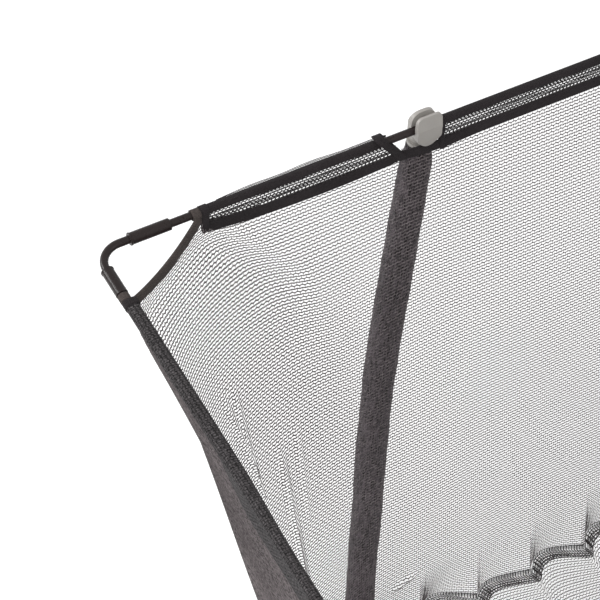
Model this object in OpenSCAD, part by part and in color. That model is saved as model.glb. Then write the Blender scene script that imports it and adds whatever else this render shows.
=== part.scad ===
// Lawn net: a deep mesh bag hung from a rectangular rod rim, carried by four padded poles.
// X runs along the long rails, Y along the short rails and Z up. The origin is on the ground,
// under the middle of the rim.

/* [Rim] */
// Length of the rim between its virtual corners, along X
rim_length = 1400; // [1200:10:1700]
// Width of the rim between its virtual corners, along Y
rim_width = 1000; // [800:10:1300]
// Height of the rods' centre line above the ground
rim_height = 1000; // [930:10:1150]
// Diameter of the rim rods
rod_d = 8; // [6:0.5:9]
// Radius of the elbows' centre line
elbow_radius = 24; // [18:1:26]
// Outer diameter of the ferrules
ferrule_d = 12; // [11:0.5:13]
// Bore clearance between a ferrule and a rod, on the radius
ferrule_clearance = 0.1; // [0.05:0.05:0.2]
// Gap between an elbow's bend and the ferrule on a long rail
ferrule_gap_long = 10; // [1:1:15]
// Length of the ferrule on a long rail
ferrule_length_long = 42; // [30:1:50]
// Gap between an elbow's bend and the ferrule on a short rail
ferrule_gap_short = 1; // [0.5:0.5:3]
// Length of the ferrule on a short rail
ferrule_length_short = 32; // [24:1:32]

/* [Net bag] */
// Depth from the rods' centre line to the floor of the bag
bag_depth = 705; // [600:5:800]
// How far each wall has come inward at the floor
bag_inset = 120; // [80:5:160]
// Distance from the virtual corner to the net, along a long rail
corner_cut_long = 108; // [100:1:130]
// Distance from the virtual corner to the net, along a short rail
corner_cut_short = 68; // [66:1:90]
// How many times longer the corner's chord is at the floor than at the rim
corner_growth = 2; // [1.6:0.1:2.2]
// Thickness of the net
net_thickness = 1; // [0.8:0.1:1.6]
// Width of the strands that are left between two gaps
strand_w = 7; // [5:0.5:10]
// Gaps across a long wall
long_wall_columns = 12; // [6:1:12]
// Gaps across a short wall and along the floor's short side
short_wall_columns = 8; // [4:1:8]
// Rows of gaps in each wall
wall_rows = 5; // [3:1:5]

/* [Hems and tapes] */
// Drop of a hem below the rod's centre line, along the wall
hem_drop = 30; // [28:1:36]
// Wall of a hem, around the rod and down both flaps
hem_wall = 1.2; // [0.8:0.1:1.6]
// Clearance between a rod and the tunnel of its hem, on the radius
hem_clearance = 0.6; // [0.4:0.1:1]
// Width of the bindings at a hem's ends
tape_w = 7.5; // [6:0.5:10]
// How far a hem's upper tape comes down below the rod's centre line
upper_tape_drop = 6.5; // [4:0.5:9]
// Width of a hem's lower tape
lower_tape_w = 13; // [10:0.5:15]
// How far a tape stands proud of the hem
tape_proud = 0.6; // [0.4:0.1:1]
// Gap between the middle hem and the centre of a clip
middle_hem_gap = 17; // [16:0.5:22]
// Gap between an outer hem and the centre of a clip
outer_hem_gap = 30; // [18:1:40]
// Width of the binding across a corner
binding_w = 8; // [6:0.5:12]
// Thickness of the binding across a corner
binding_thickness = 2.6; // [2:0.1:3.2]
// Sag of the binding across a corner
binding_sag = 8; // [4:1:14]
// Height of the tape along the floor's seam
seam_w = 16; // [10:1:22]
// Thickness of the tape along the floor's seam
seam_thickness = 1.6; // [1:0.1:2.4]

/* [Poles] */
// Distance from a virtual corner to a pole, along a long rail
pole_from_corner = 350; // [250:5:450]
// Outer diameter of the pole tubes
tube_d = 22; // [20:0.5:25]
// Wall of the pole tubes
tube_wall = 1.2; // [1:0.1:2]
// Drop from the rods' centre line to the top of a pole
pole_top_drop = 30; // [29:1:36]
// How far outside the rail the top of a pole stands
pole_top_out = 11; // [10:0.5:16]
// Drop from the rods' centre line to the bend of a pole
pole_bend_drop = 475; // [400:5:560]
// How far outside the rail the foot of a pole stands
pole_foot_out = 48.5; // [40:0.5:70]
// Radius of a pole's bend
pole_bend_radius = 600; // [400:20:900]
// Length of the lower tube's narrowed end
spigot_length = 60; // [40:5:80]
// Clearance of the narrowed end and of the clip's plug, on the radius
plug_clearance = 0.1; // [0.05:0.05:0.3]

/* [Padding and feet] */
// Outer diameter of the padded sleeve
sleeve_d = 36; // [32:1:42]
// Clearance between the padded sleeve and the tube, on the radius
sleeve_clearance = 0.2; // [0.1:0.1:0.5]
// Gap between the top of the tube and the top of the sleeve
sleeve_top_gap = 2; // [1:0.5:6]
// Length of the sleeve's gathered top
sleeve_gather = 34; // [20:1:50]
// Height of the sleeve's lower end above the ground
sleeve_bottom = 70; // [60:5:120]
// Diameter of a foot where it meets the ground
foot_d = 46; // [40:1:60]
// Height of a foot
foot_height = 40; // [32:1:50]
// Thickness of a foot under its tube
foot_sole = 7; // [5:0.5:12]
// Wall of a foot around its tube
foot_wall = 4; // [3:0.5:6]

/* [Clips] */
// Width of a clip along the rod
clip_w = 27; // [24:1:30]
// Height of the inner cheek above the rod
inner_cheek_top = 21; // [18:1:26]
// Height of the outer cheek above the rod
outer_cheek_top = 17; // [14:1:20]
// Drop of both cheeks below the rod
cheek_drop = 18; // [16:1:20]
// Thickness of a cheek
cheek_thickness = 6; // [5:0.5:8]
// Running clearance between the clip's seat and the rod, on the radius
seat_clearance = 0.06; // [0.03:0.01:0.09]
// How much the slot above the rod is narrower than the rod
snap_bite = 1; // [0.6:0.1:1.6]
// Length of the clip's plug inside the pole
plug_length = 36; // [25:1:50]

/* [Hidden] */

$fn = 96;
// Facets of the corner bindings' long arcs
arc_facets = 240;
// Sides of a swept pole tube, and the steps of its bend
tube_sides = 24;
bend_steps = 3;
// Overhang of a cutting shape past what it cuts
cut = 1;
// How far sewn pieces reach into each other
sewn_lap = 1;

rod_r = rod_d / 2;
ferrule_start_long = elbow_radius + ferrule_gap_long;
ferrule_start_short = elbow_radius + ferrule_gap_short;
half_length = rim_length / 2;
half_width = rim_width / 2;

// The walls' lean, and the length of a wall along its slope
wall_lean = atan2(bag_inset, bag_depth);
wall_slant = sqrt(bag_inset * bag_inset + bag_depth * bag_depth);

// A corner panel: its chord at the rim, its lean, its slope length and its sideways drift
chord_angle = atan2(corner_cut_short, corner_cut_long);
chord = sqrt(corner_cut_long * corner_cut_long + corner_cut_short * corner_cut_short);
drift_x = bag_inset + corner_cut_long * (corner_growth - 1) / 2;
drift_y = bag_inset + corner_cut_short * (corner_growth - 1) / 2;
corner_inward = drift_x * sin(chord_angle) + drift_y * cos(chord_angle);
corner_drift = drift_x * cos(chord_angle) - drift_y * sin(chord_angle);
corner_lean = atan2(corner_inward, bag_depth);
corner_slant = sqrt(corner_inward * corner_inward + bag_depth * bag_depth);

// The floor: half of each straight side, how far each side stands from the middle, and its gaps
floor_half_long = half_length - bag_inset - corner_cut_long * corner_growth;
floor_half_short = half_width - bag_inset - corner_cut_short * corner_growth;
floor_x = half_length - bag_inset;
floor_y = half_width - bag_inset;
floor_rows = 6;
floor_columns = 10;
corner_columns = 2;

// A pole: its lean above the bend, and the drops at which the bend and the upper tube end
pole_lean = atan2(pole_foot_out - pole_top_out, pole_bend_drop - pole_top_drop);
bend_end_drop = pole_bend_drop + pole_bend_radius * tan(pole_lean / 2);
upper_tube_end = bend_end_drop + spigot_length;
pole_x = half_length - pole_from_corner;
tube_bore_r = tube_d / 2 - tube_wall;

seat_r = rod_r + seat_clearance;
hem_tunnel_r = rod_r + hem_clearance;

black_steel = "#2b282b";
rod_black = "#3a3436";
net_grey = "#8d898c";
tape_black = "#262226";
clip_grey = "#a09d98";
pad_charcoal = "#3b373b";
rubber_black = "#1f1f21";

// ---- Places ------------------------------------------------------------------------------

// Puts a shape drawn for the back left corner at a corner; x and y are the corner's signs
module at_corner(x, y) {
    mirror([x > 0 ? 1 : 0, 0, 0]) mirror([0, y < 0 ? 1 : 0, 0]) children();
}

// A wall's own frame: X along its rail, Y outward and Z up its slope, with the rod at the origin.
// The sides are 0 back, 1 left, 2 front and 3 right
module on_wall(side) {
    rotate([0, 0, 90 * side])
        translate([0, side % 2 == 0 ? half_width : half_length, rim_height])
            rotate([-wall_lean, 0, 0]) children();
}

// The frame of the back left corner's panel: X along its chord, Y outward and Z up its slope
module on_corner_panel() {
    translate([-half_length + corner_cut_long / 2, half_width - corner_cut_short / 2, rim_height])
        rotate([0, 0, chord_angle]) rotate([-corner_lean, 0, 0]) children();
}

// A pole's frame: X along the rail, Y outward and Z up, with the rod at the origin
module on_pole(x, y) {
    mirror([x > 0 ? 1 : 0, 0, 0]) mirror([0, y < 0 ? 1 : 0, 0])
        translate([-pole_x, half_width, rim_height]) children();
}

// Draws a flat outline, given as X and Z, as a plate in the XZ plane with its middle on it
module upright_plate(thickness) {
    rotate([90, 0, 0]) linear_extrude(thickness, center = true) children();
}

// Carries a profile, given as Y and Z, along X from x0 to x1
module along_x(x0, x1) {
    translate([x0, 0, 0]) rotate([90, 0, 90]) linear_extrude(x1 - x0) children();
}

// ---- Rim ---------------------------------------------------------------------------------

// A bent rod: the quarter bend and one straight leg into each ferrule
module elbow(x, y) {
    long_leg = ferrule_start_long + ferrule_length_long / 2 - elbow_radius;
    short_leg = ferrule_start_short + ferrule_length_short / 2 - elbow_radius;
    color(black_steel) at_corner(x, y)
        translate([-half_length + elbow_radius, half_width - elbow_radius, rim_height]) {
            rotate([0, 0, 90]) rotate_extrude(angle = 90)
                translate([elbow_radius, 0]) circle(rod_r);
            translate([0, elbow_radius, 0]) rotate([0, 90, 0]) cylinder(h = long_leg, r = rod_r);
            translate([-elbow_radius, 0, 0]) rotate([90, 0, 0]) cylinder(h = short_leg, r = rod_r);
        }
}

// A ferrule along Z: a turned tube with a rolled bead at the end that faces the elbow
module ferrule(length) {
    bore_r = rod_r + ferrule_clearance;
    outer_r = ferrule_d / 2;
    bead = 0.5;
    rotate_extrude() polygon([
        [bore_r, 0], [outer_r, 0], [outer_r + bead, bead], [outer_r + bead, 3 * bead],
        [outer_r, 4 * bead], [outer_r, length - bead], [outer_r - bead, length], [bore_r, length]
    ]);
}

module ferrules(x, y) {
    color(rod_black) at_corner(x, y) {
        translate([-half_length + ferrule_start_long, half_width, rim_height])
            rotate([0, 90, 0]) ferrule(ferrule_length_long);
        translate([-half_length, half_width - ferrule_start_short, rim_height])
            rotate([90, 0, 0]) ferrule(ferrule_length_short);
    }
}

// A straight rod between the middles of two ferrules
module long_rod(y) {
    length = rim_length - 2 * (ferrule_start_long + ferrule_length_long / 2);
    color(rod_black) translate([0, y * half_width, rim_height])
        rotate([0, 90, 0]) cylinder(h = length, r = rod_r, center = true);
}

module short_rod(x) {
    length = rim_width - 2 * (ferrule_start_short + ferrule_length_short / 2);
    color(rod_black) translate([x * half_length, 0, rim_height])
        rotate([90, 0, 0]) cylinder(h = length, r = rod_r, center = true);
}

// ---- Hems, bindings and seams ------------------------------------------------------------

// A hem's outline: a tunnel around the rod, pinched in under it to two flaps that hang flat.
// r is the tunnel's radius and half_flaps half the thickness of the flaps
module hem_outline(r, half_flaps) {
    shoulder = r * cos(45);
    pinch = 2 * r - half_flaps;
    translate([0, -hem_clearance * 0.9]) circle(r);
    polygon([
        [-shoulder, -shoulder], [shoulder, -shoulder], [half_flaps, -pinch],
        [half_flaps, -hem_drop], [-half_flaps, -hem_drop], [-half_flaps, -pinch]
    ]);
}

module hem_section(proud) {
    outer_r = hem_tunnel_r + hem_wall + proud;
    half_flaps = hem_wall + net_thickness / 2 + proud;
    difference() {
        hem_outline(outer_r, half_flaps);
        intersection() {
            hem_outline(hem_tunnel_r, net_thickness / 2);
            translate([-outer_r, -hem_drop + lower_tape_w / 3]) square([2 * outer_r, 2 * hem_drop]);
        }
    }
}

// A tape along the hem: the band of the proud section between two heights
module hem_tape(low, high) {
    intersection() {
        hem_section(tape_proud);
        translate([-hem_drop, low]) square([2 * hem_drop, high - low]);
    }
}

// A hem from x0 to x1: the sleeve, its two tapes and a binding at each end
module hem(side, x0, x1) {
    color(tape_black) on_wall(side) {
        along_x(x0, x1) {
            hem_section(0);
            hem_tape(-upper_tape_drop, hem_drop);
            hem_tape(-hem_drop, -hem_drop + lower_tape_w);
        }
        along_x(x0, x0 + tape_w) hem_section(tape_proud);
        along_x(x1 - tape_w, x1) hem_section(tape_proud);
    }
}

// The middle hem of a long wall, whose lower tape runs on under both clips to the outer hems
module middle_hem(side) {
    hem_end = pole_x - middle_hem_gap;
    tape_end = pole_x + outer_hem_gap;
    hem(side, -hem_end, hem_end);
    color(tape_black) on_wall(side) along_x(-tape_end, tape_end)
        hem_tape(-hem_drop, -hem_drop + lower_tape_w / 2);
}

// The outer hem of a long wall that lies at lower X in the wall's own frame
module outer_hem(side) {
    hem(side, -half_length + corner_cut_long, -pole_x - outer_hem_gap);
}

module short_hem(side) {
    hem(side, -half_width + corner_cut_short, half_width - corner_cut_short);
}

// The sag line across a corner, as a disc whose lower edge is the line
module sag_disc(extra) {
    sag_r = (chord * chord / 4 + binding_sag * binding_sag) / (2 * binding_sag);
    translate([0, sag_r - binding_sag]) circle(sag_r + extra, $fn = arc_facets);
}

// Room for the rim's rods around a corner
module rod_room(clearance) {
    r = rod_r + clearance;
    translate([-half_length, half_width, rim_height]) {
        rotate([0, 90, 0]) cylinder(h = 2 * corner_cut_long, r = r);
        rotate([90, 0, 0]) cylinder(h = 2 * corner_cut_long, r = r);
    }
}

// The tape that binds the net's edge across a corner
module binding(x, y) {
    color(tape_black) at_corner(x, y) difference() {
        on_corner_panel() upright_plate(binding_thickness) difference() {
            intersection() {
                sag_disc(binding_w);
                translate([-chord / 2, -binding_sag - binding_w])
                    square([chord, binding_sag + binding_w]);
            }
            sag_disc(0);
        }
        rod_room(hem_clearance);
    }
}

// A strip of seam tape on the inside of a wall, just above the floor
module seam_strip(slant, low_half, drift) {
    translate([0, -net_thickness / 2 - seam_thickness / 2, 0]) upright_plate(seam_thickness)
        polygon([
            [drift - low_half, cut - slant], [drift + low_half, cut - slant],
            [drift + low_half, cut - slant + seam_w], [drift - low_half, cut - slant + seam_w]
        ]);
}

module seam(side) {
    half = side % 2 == 0 ? floor_half_long : floor_half_short;
    color(tape_black) on_wall(side) seam_strip(wall_slant, half - seam_thickness, 0);
}

module seam_corners() {
    half = chord * corner_growth / 2 - 2 * seam_thickness;
    for (x = [-1, 1], y = [-1, 1])
        color(tape_black) at_corner(x, y) on_corner_panel()
            seam_strip(corner_slant, half, corner_drift);
}

// ---- Net ---------------------------------------------------------------------------------

// A net outline with its gaps, from the height top down to bottom. Its half width is top_half at
// height 0 and bottom_half at the bottom, and its middle has drifted sideways there by drift
module net_outline(top, bottom, top_half, bottom_half, drift, columns, rows) {
    function half(z) = top_half + (bottom_half - top_half) * z / bottom;
    function mid(z) = drift * z / bottom;
    function at(f, z) = [mid(z) + f * half(z), z];
    difference() {
        polygon([at(-1, top), at(1, top), at(1, bottom), at(-1, bottom)]);
        for (i = [0 : columns - 1], j = [0 : rows - 1]) {
            left = -1 + 2 * i / columns;
            right = -1 + 2 * (i + 1) / columns;
            low = bottom + (top - bottom) * j / rows + strand_w / 2;
            high = bottom + (top - bottom) * (j + 1) / rows - strand_w / 2;
            polygon([
                at(left, low) + [strand_w / 2, 0], at(right, low) - [strand_w / 2, 0],
                at(right, high) - [strand_w / 2, 0], at(left, high) + [strand_w / 2, 0]
            ]);
        }
    }
}

module net_wall(side) {
    top_half = side % 2 == 0 ? half_length - corner_cut_long : half_width - corner_cut_short;
    bottom_half = side % 2 == 0 ? floor_half_long : floor_half_short;
    columns = side % 2 == 0 ? long_wall_columns : short_wall_columns;
    color(net_grey) on_wall(side) upright_plate(net_thickness)
        net_outline(sewn_lap - hem_drop, -wall_slant, top_half, bottom_half, 0, columns, wall_rows);
}

module net_corner(x, y) {
    color(net_grey) at_corner(x, y) difference() {
        on_corner_panel() upright_plate(net_thickness) difference() {
            net_outline(0, -corner_slant, chord / 2, chord * corner_growth / 2, corner_drift,
                corner_columns, wall_rows);
            sag_disc(binding_w - sewn_lap);
        }
        rod_room(hem_clearance);
    }
}

// The floor's octagon, drawn in by an inset
function floor_outline(inset) =
    let (x = floor_x - inset, y = floor_y - inset,
         long = floor_half_long - inset * tan(chord_angle / 2),
         short = floor_half_short - inset * tan((90 - chord_angle) / 2))
    [[-long, -y], [long, -y], [x, -short], [x, short], [long, y], [-long, y], [-x, short], [-x, -short]];

module net_floor() {
    cell_x = 2 * floor_x / floor_columns;
    cell_y = 2 * floor_y / floor_rows;
    color(net_grey) translate([0, 0, rim_height - bag_depth])
        linear_extrude(net_thickness, center = true) difference() {
            polygon(floor_outline(0));
            intersection() {
                polygon(floor_outline(strand_w));
                union() {
                    for (i = [0 : floor_columns - 1], j = [0 : floor_rows - 1])
                        translate([-floor_x + i * cell_x + strand_w / 2,
                                   -floor_y + j * cell_y + strand_w / 2])
                            square([cell_x - strand_w, cell_y - strand_w]);
                }
            }
        }
}

// ---- Poles -------------------------------------------------------------------------------

// Moves to the top of the pole, with Z up the leaning axis
module at_pole_top() {
    translate([0, pole_top_out, -pole_top_drop]) rotate([pole_lean, 0, 0]) children();
}

// Stations along the pole's axis, each as Y, Z and tilt: the start, the rounded bend and the end
function pole_stations(from, to_drop) = concat(
    [[pole_top_out + from * sin(pole_lean), -pole_top_drop - from * cos(pole_lean), pole_lean]],
    [for (k = [bend_steps : -1 : 0]) let (tilt = pole_lean * k / bend_steps)
        [pole_foot_out - pole_bend_radius * (1 - cos(tilt)),
         pole_bend_radius * sin(tilt) - bend_end_drop, tilt]],
    [[pole_foot_out, -to_drop, 0]]
);

// A tube swept along stations: the rings of its outer wall down, then those of its bore back up.
// outer_r holds one radius for each station
module swept_tube(stations, outer_r, inner_r) {
    count = len(stations);
    loop = concat(
        [for (i = [0 : count - 1]) [stations[i], outer_r[i]]],
        [for (i = [count - 1 : -1 : 0]) [stations[i], inner_r]]
    );
    points = [for (ring = loop, k = [0 : tube_sides - 1])
        let (s = ring[0], across = ring[1] * sin(360 * k / tube_sides))
            [ring[1] * cos(360 * k / tube_sides), s[0] + across * cos(s[2]), s[1] + across * sin(s[2])]];
    function corner(i, k) = (i % len(loop)) * tube_sides + k % tube_sides;
    faces = [for (i = [0 : len(loop) - 1], k = [0 : tube_sides - 1], half = [0, 1])
        half == 0 ? [corner(i, k), corner(i, k + 1), corner(i + 1, k)]
                  : [corner(i, k + 1), corner(i + 1, k + 1), corner(i + 1, k)]];
    polyhedron(points = points, faces = faces);
}

module upper_tube(x, y) {
    stations = pole_stations(0, upper_tube_end);
    color(black_steel) on_pole(x, y)
        swept_tube(stations, [for (s = stations) tube_d / 2], tube_bore_r);
}

// The lower tube: a straight tube whose narrowed end stands inside the upper one
module lower_tube(x, y) {
    spigot_r = tube_bore_r - plug_clearance;
    bottom = rim_height - foot_sole;
    color(black_steel) on_pole(x, y) translate([0, pole_foot_out, -bottom]) difference() {
        union() {
            cylinder(h = bottom - upper_tube_end, r = tube_d / 2);
            cylinder(h = bottom - upper_tube_end + spigot_length, r = spigot_r);
        }
        translate([0, 0, -cut])
            cylinder(h = bottom - upper_tube_end + spigot_length + cut, r = spigot_r - tube_wall);
    }
}

// The padded sleeve: a soft tube around the pole, gathered in at its top
module sleeve(x, y) {
    inner_r = tube_d / 2 + sleeve_clearance;
    neck_wall = 1.5;
    below_gather = pole_stations(sleeve_top_gap + sleeve_gather, rim_height - sleeve_bottom);
    stations = concat([pole_stations(sleeve_top_gap, pole_bend_drop)[0]], below_gather);
    color(pad_charcoal) on_pole(x, y) swept_tube(
        stations, concat([inner_r + neck_wall], [for (s = below_gather) sleeve_d / 2]), inner_r);
}

// A rubber foot: a cup for the tube with a flared base
module foot(x, y) {
    bore_r = tube_d / 2 + sleeve_clearance;
    outer_r = tube_d / 2 + foot_wall;
    base_r = foot_d / 2;
    edge = 2;
    flare = 14;
    color(rubber_black) on_pole(x, y) translate([0, pole_foot_out, -rim_height]) rotate_extrude()
        polygon([
            [0, 0], [base_r - edge, 0], [base_r, edge], [base_r, 2 * edge],
            [outer_r, flare], [outer_r, foot_height - edge], [outer_r - edge, foot_height],
            [bore_r, foot_height], [bore_r, foot_sole], [0, foot_sole]
        ]);
}

// ---- Clips -------------------------------------------------------------------------------

// A cheek seen along Y: a rounded shield that narrows to its lower end
module cheek_face(top, shoulder_r) {
    tip_r = 9;
    waist = clip_w / 2 - shoulder_r;
    hull() {
        for (x = [-waist, waist]) {
            translate([x, top - shoulder_r]) circle(shoulder_r, $fn = 32);
            translate([x, -cheek_drop / 3]) circle(shoulder_r, $fn = 32);
        }
        translate([0, -cheek_drop + tip_r]) circle(tip_r, $fn = 32);
    }
}

// Both cheeks in section: the inner one leans back above a crease
module inner_cheek_section() {
    face = seat_r + cheek_thickness;
    crease = inner_cheek_top / 4;
    polygon([
        [-face + 1, -cheek_drop], [0, -cheek_drop], [0, inner_cheek_top],
        [-face + 2.5, inner_cheek_top], [-face, crease], [-face, -cheek_drop / 2]
    ]);
}

module outer_cheek_section() {
    face = seat_r + cheek_thickness;
    polygon([
        [0, -cheek_drop], [face - 1, -cheek_drop], [face, -cheek_drop / 2],
        [face, outer_cheek_top / 3], [face - 2, outer_cheek_top], [0, outer_cheek_top]
    ]);
}

// The open slot above the rod: narrower than the rod at the lips, wider at the mouth
module slot_section() {
    lip = rod_r - snap_bite / 2;
    mouth = rod_r + 1;
    polygon([
        [-lip, 0], [lip, 0], [lip, rod_d], [mouth, inner_cheek_top + cut],
        [-mouth, inner_cheek_top + cut], [-lip, rod_d]
    ]);
}

module clip(x, y) {
    plug_r = tube_bore_r - plug_clearance;
    collar_h = 4;
    inner_shoulder_r = 6;
    outer_shoulder_r = 11;
    color(clip_grey) on_pole(x, y) difference() {
        union() {
            intersection() {
                along_x(-clip_w, clip_w) inner_cheek_section();
                rotate([90, 0, 0]) linear_extrude(clip_w, center = true)
                    cheek_face(inner_cheek_top, inner_shoulder_r);
            }
            intersection() {
                along_x(-clip_w, clip_w) outer_cheek_section();
                rotate([90, 0, 0]) linear_extrude(clip_w, center = true)
                    cheek_face(outer_cheek_top, outer_shoulder_r);
            }
            at_pole_top() {
                cylinder(h = collar_h, r = tube_d / 2);
                translate([0, 0, -plug_length]) cylinder(h = plug_length + collar_h, r = plug_r);
                cylinder(h = pole_top_drop - cheek_drop + 2 * collar_h, r = plug_r - 1);
            }
        }
        along_x(-clip_w, clip_w) slot_section();
        rotate([0, 90, 0]) cylinder(h = 2 * clip_w, r = seat_r, center = true);
    }
}

// ---- Nodes -------------------------------------------------------------------------------

elbow(-1, 1);  // elbow_back_left
elbow(1, 1);  // elbow_back_right
elbow(-1, -1);  // elbow_front_left
elbow(1, -1);  // elbow_front_right
ferrules(-1, 1);  // ferrules_back_left
ferrules(1, 1);  // ferrules_back_right
ferrules(-1, -1);  // ferrules_front_left
ferrules(1, -1);  // ferrules_front_right
long_rod(1);  // rod_back
long_rod(-1);  // rod_front
short_rod(-1);  // rod_left
short_rod(1);  // rod_right
outer_hem(0);  // hem_back_left
middle_hem(0);  // hem_back_middle
mirror([1, 0, 0]) outer_hem(0);  // hem_back_right
mirror([1, 0, 0]) outer_hem(2);  // hem_front_left
middle_hem(2);  // hem_front_middle
outer_hem(2);  // hem_front_right
short_hem(1);  // hem_left
short_hem(3);  // hem_right
binding(-1, 1);  // binding_back_left
binding(1, 1);  // binding_back_right
binding(-1, -1);  // binding_front_left
binding(1, -1);  // binding_front_right
net_wall(0);  // net_back
net_wall(2);  // net_front
net_wall(1);  // net_left
net_wall(3);  // net_right
net_corner(-1, 1);  // net_corner_back_left
net_corner(1, 1);  // net_corner_back_right
net_corner(-1, -1);  // net_corner_front_left
net_corner(1, -1);  // net_corner_front_right
net_floor();
seam(0);  // seam_back
seam(2);  // seam_front
seam(1);  // seam_left
seam(3);  // seam_right
seam_corners();
clip(-1, 1);  // clip_back_left
clip(1, 1);  // clip_back_right
clip(-1, -1);  // clip_front_left
clip(1, -1);  // clip_front_right
upper_tube(-1, 1);  // upper_tube_back_left
upper_tube(1, 1);  // upper_tube_back_right
upper_tube(-1, -1);  // upper_tube_front_left
upper_tube(1, -1);  // upper_tube_front_right
lower_tube(-1, 1);  // lower_tube_back_left
lower_tube(1, 1);  // lower_tube_back_right
lower_tube(-1, -1);  // lower_tube_front_left
lower_tube(1, -1);  // lower_tube_front_right
sleeve(-1, 1);  // sleeve_back_left
sleeve(1, 1);  // sleeve_back_right
sleeve(-1, -1);  // sleeve_front_left
sleeve(1, -1);  // sleeve_front_right
foot(-1, 1);  // foot_back_left
foot(1, 1);  // foot_back_right
foot(-1, -1);  // foot_front_left
foot(1, -1);  // foot_front_right
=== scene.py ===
"""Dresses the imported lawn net: a knitted bag on a rod rim, its hems, bindings, clips and padded poles.

Every length is in metres, in the frame of the solids: X along the long rails, Y along the short
rails, Z up, with the origin on the ground under the middle of the rim.
"""

import math
from dataclasses import dataclass

import bpy
import numpy as np
from bpy.props import FloatProperty, FloatVectorProperty, PointerProperty
from mathutils import Matrix


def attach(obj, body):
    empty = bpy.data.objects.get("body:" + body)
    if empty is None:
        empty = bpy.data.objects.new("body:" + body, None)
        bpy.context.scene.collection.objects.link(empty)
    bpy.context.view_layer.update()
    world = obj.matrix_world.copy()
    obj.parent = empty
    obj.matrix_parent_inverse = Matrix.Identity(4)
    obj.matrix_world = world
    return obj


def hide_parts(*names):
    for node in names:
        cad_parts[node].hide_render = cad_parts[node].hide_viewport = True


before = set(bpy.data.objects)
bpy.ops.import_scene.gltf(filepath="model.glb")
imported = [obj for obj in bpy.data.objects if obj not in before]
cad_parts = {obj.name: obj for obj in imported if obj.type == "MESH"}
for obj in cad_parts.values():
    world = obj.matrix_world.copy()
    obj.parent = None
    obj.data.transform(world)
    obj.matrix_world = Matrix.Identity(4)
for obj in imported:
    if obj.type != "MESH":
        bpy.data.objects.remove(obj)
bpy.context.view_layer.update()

bl_info = {
    "name": "Lawn Net Dressing",
    "version": (1, 0, 0),
    "blender": (4, 5, 0),
    "location": "View3D > Sidebar > Lawn Net",
    "description": "Knitted net, taped hems, corner bindings, cradle clips and padded poles of a lawn net",
    "category": "Add Mesh",
}

# ---- Sizes shared with the solids ---------------------------------------------------------

HALF_LENGTH = 0.700
HALF_WIDTH = 0.500
RIM_HEIGHT = 1.000
BAG_DEPTH = 0.705
BAG_INSET = 0.120
CUT_LONG = 0.108
CUT_SHORT = 0.068
CORNER_GROWTH = 2.0
BINDING_SAG = 0.008
HEM_DEPTH = 0.030
POLE_X = 0.350
POLE_TOP_DROP = 0.030
POLE_TOP_OUT = 0.011
POLE_BEND_DROP = 0.475
POLE_FOOT_OUT = 0.0485
WALL_LEAN = math.atan2(BAG_INSET, BAG_DEPTH)
SLOPE = BAG_INSET / BAG_DEPTH
CORNERS = {
    "back_left": (-1, 1),
    "back_right": (1, 1),
    "front_left": (-1, -1),
    "front_right": (1, -1),
}
SIDES = {"back": 0, "left": 1, "front": 2, "right": 3}


# ---- Settings -----------------------------------------------------------------------------


class LawnNetSizes(bpy.types.PropertyGroup):
    """Sizes of the soft pieces."""

    row_pitch: FloatProperty(
        name="Row pitch", description="Distance between two rows of the knitting", default=0.00395,
        min=0.003, max=0.01, unit="LENGTH", precision=4)
    stitch_pitch: FloatProperty(
        name="Stitch pitch", description="Length of one stitch along a row", default=0.0055,
        min=0.003, max=0.012, unit="LENGTH", precision=4)
    row_thread: FloatProperty(
        name="Row thread", description="Width of the threads that run along the rows",
        default=0.00096, min=0.0004, max=0.002, unit="LENGTH", precision=5)
    link_thread: FloatProperty(
        name="Link thread", description="Width of the threads that join two rows", default=0.00050,
        min=0.0002, max=0.001, unit="LENGTH", precision=5)
    row_wave: FloatProperty(
        name="Row wave", description="How far a row's thread swings up and down", default=0.0016,
        min=0.0, max=0.002, unit="LENGTH", precision=5)
    hem_drop: FloatProperty(
        name="Hem drop", description="Drop of a hem below the rod, along the wall", default=HEM_DEPTH,
        min=0.02, max=0.04, unit="LENGTH")
    upper_tape: FloatProperty(
        name="Upper tape", description="How far a hem's upper tape comes down below the rod",
        default=0.0010, min=0.0005, max=0.012, unit="LENGTH")
    lower_tape: FloatProperty(
        name="Lower tape", description="Width of a hem's lower tape", default=0.0118,
        min=0.008, max=0.018, unit="LENGTH")
    end_tape: FloatProperty(
        name="End tape", description="Width of the bindings at a hem's ends", default=0.0075,
        min=0.005, max=0.012, unit="LENGTH")


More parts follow.
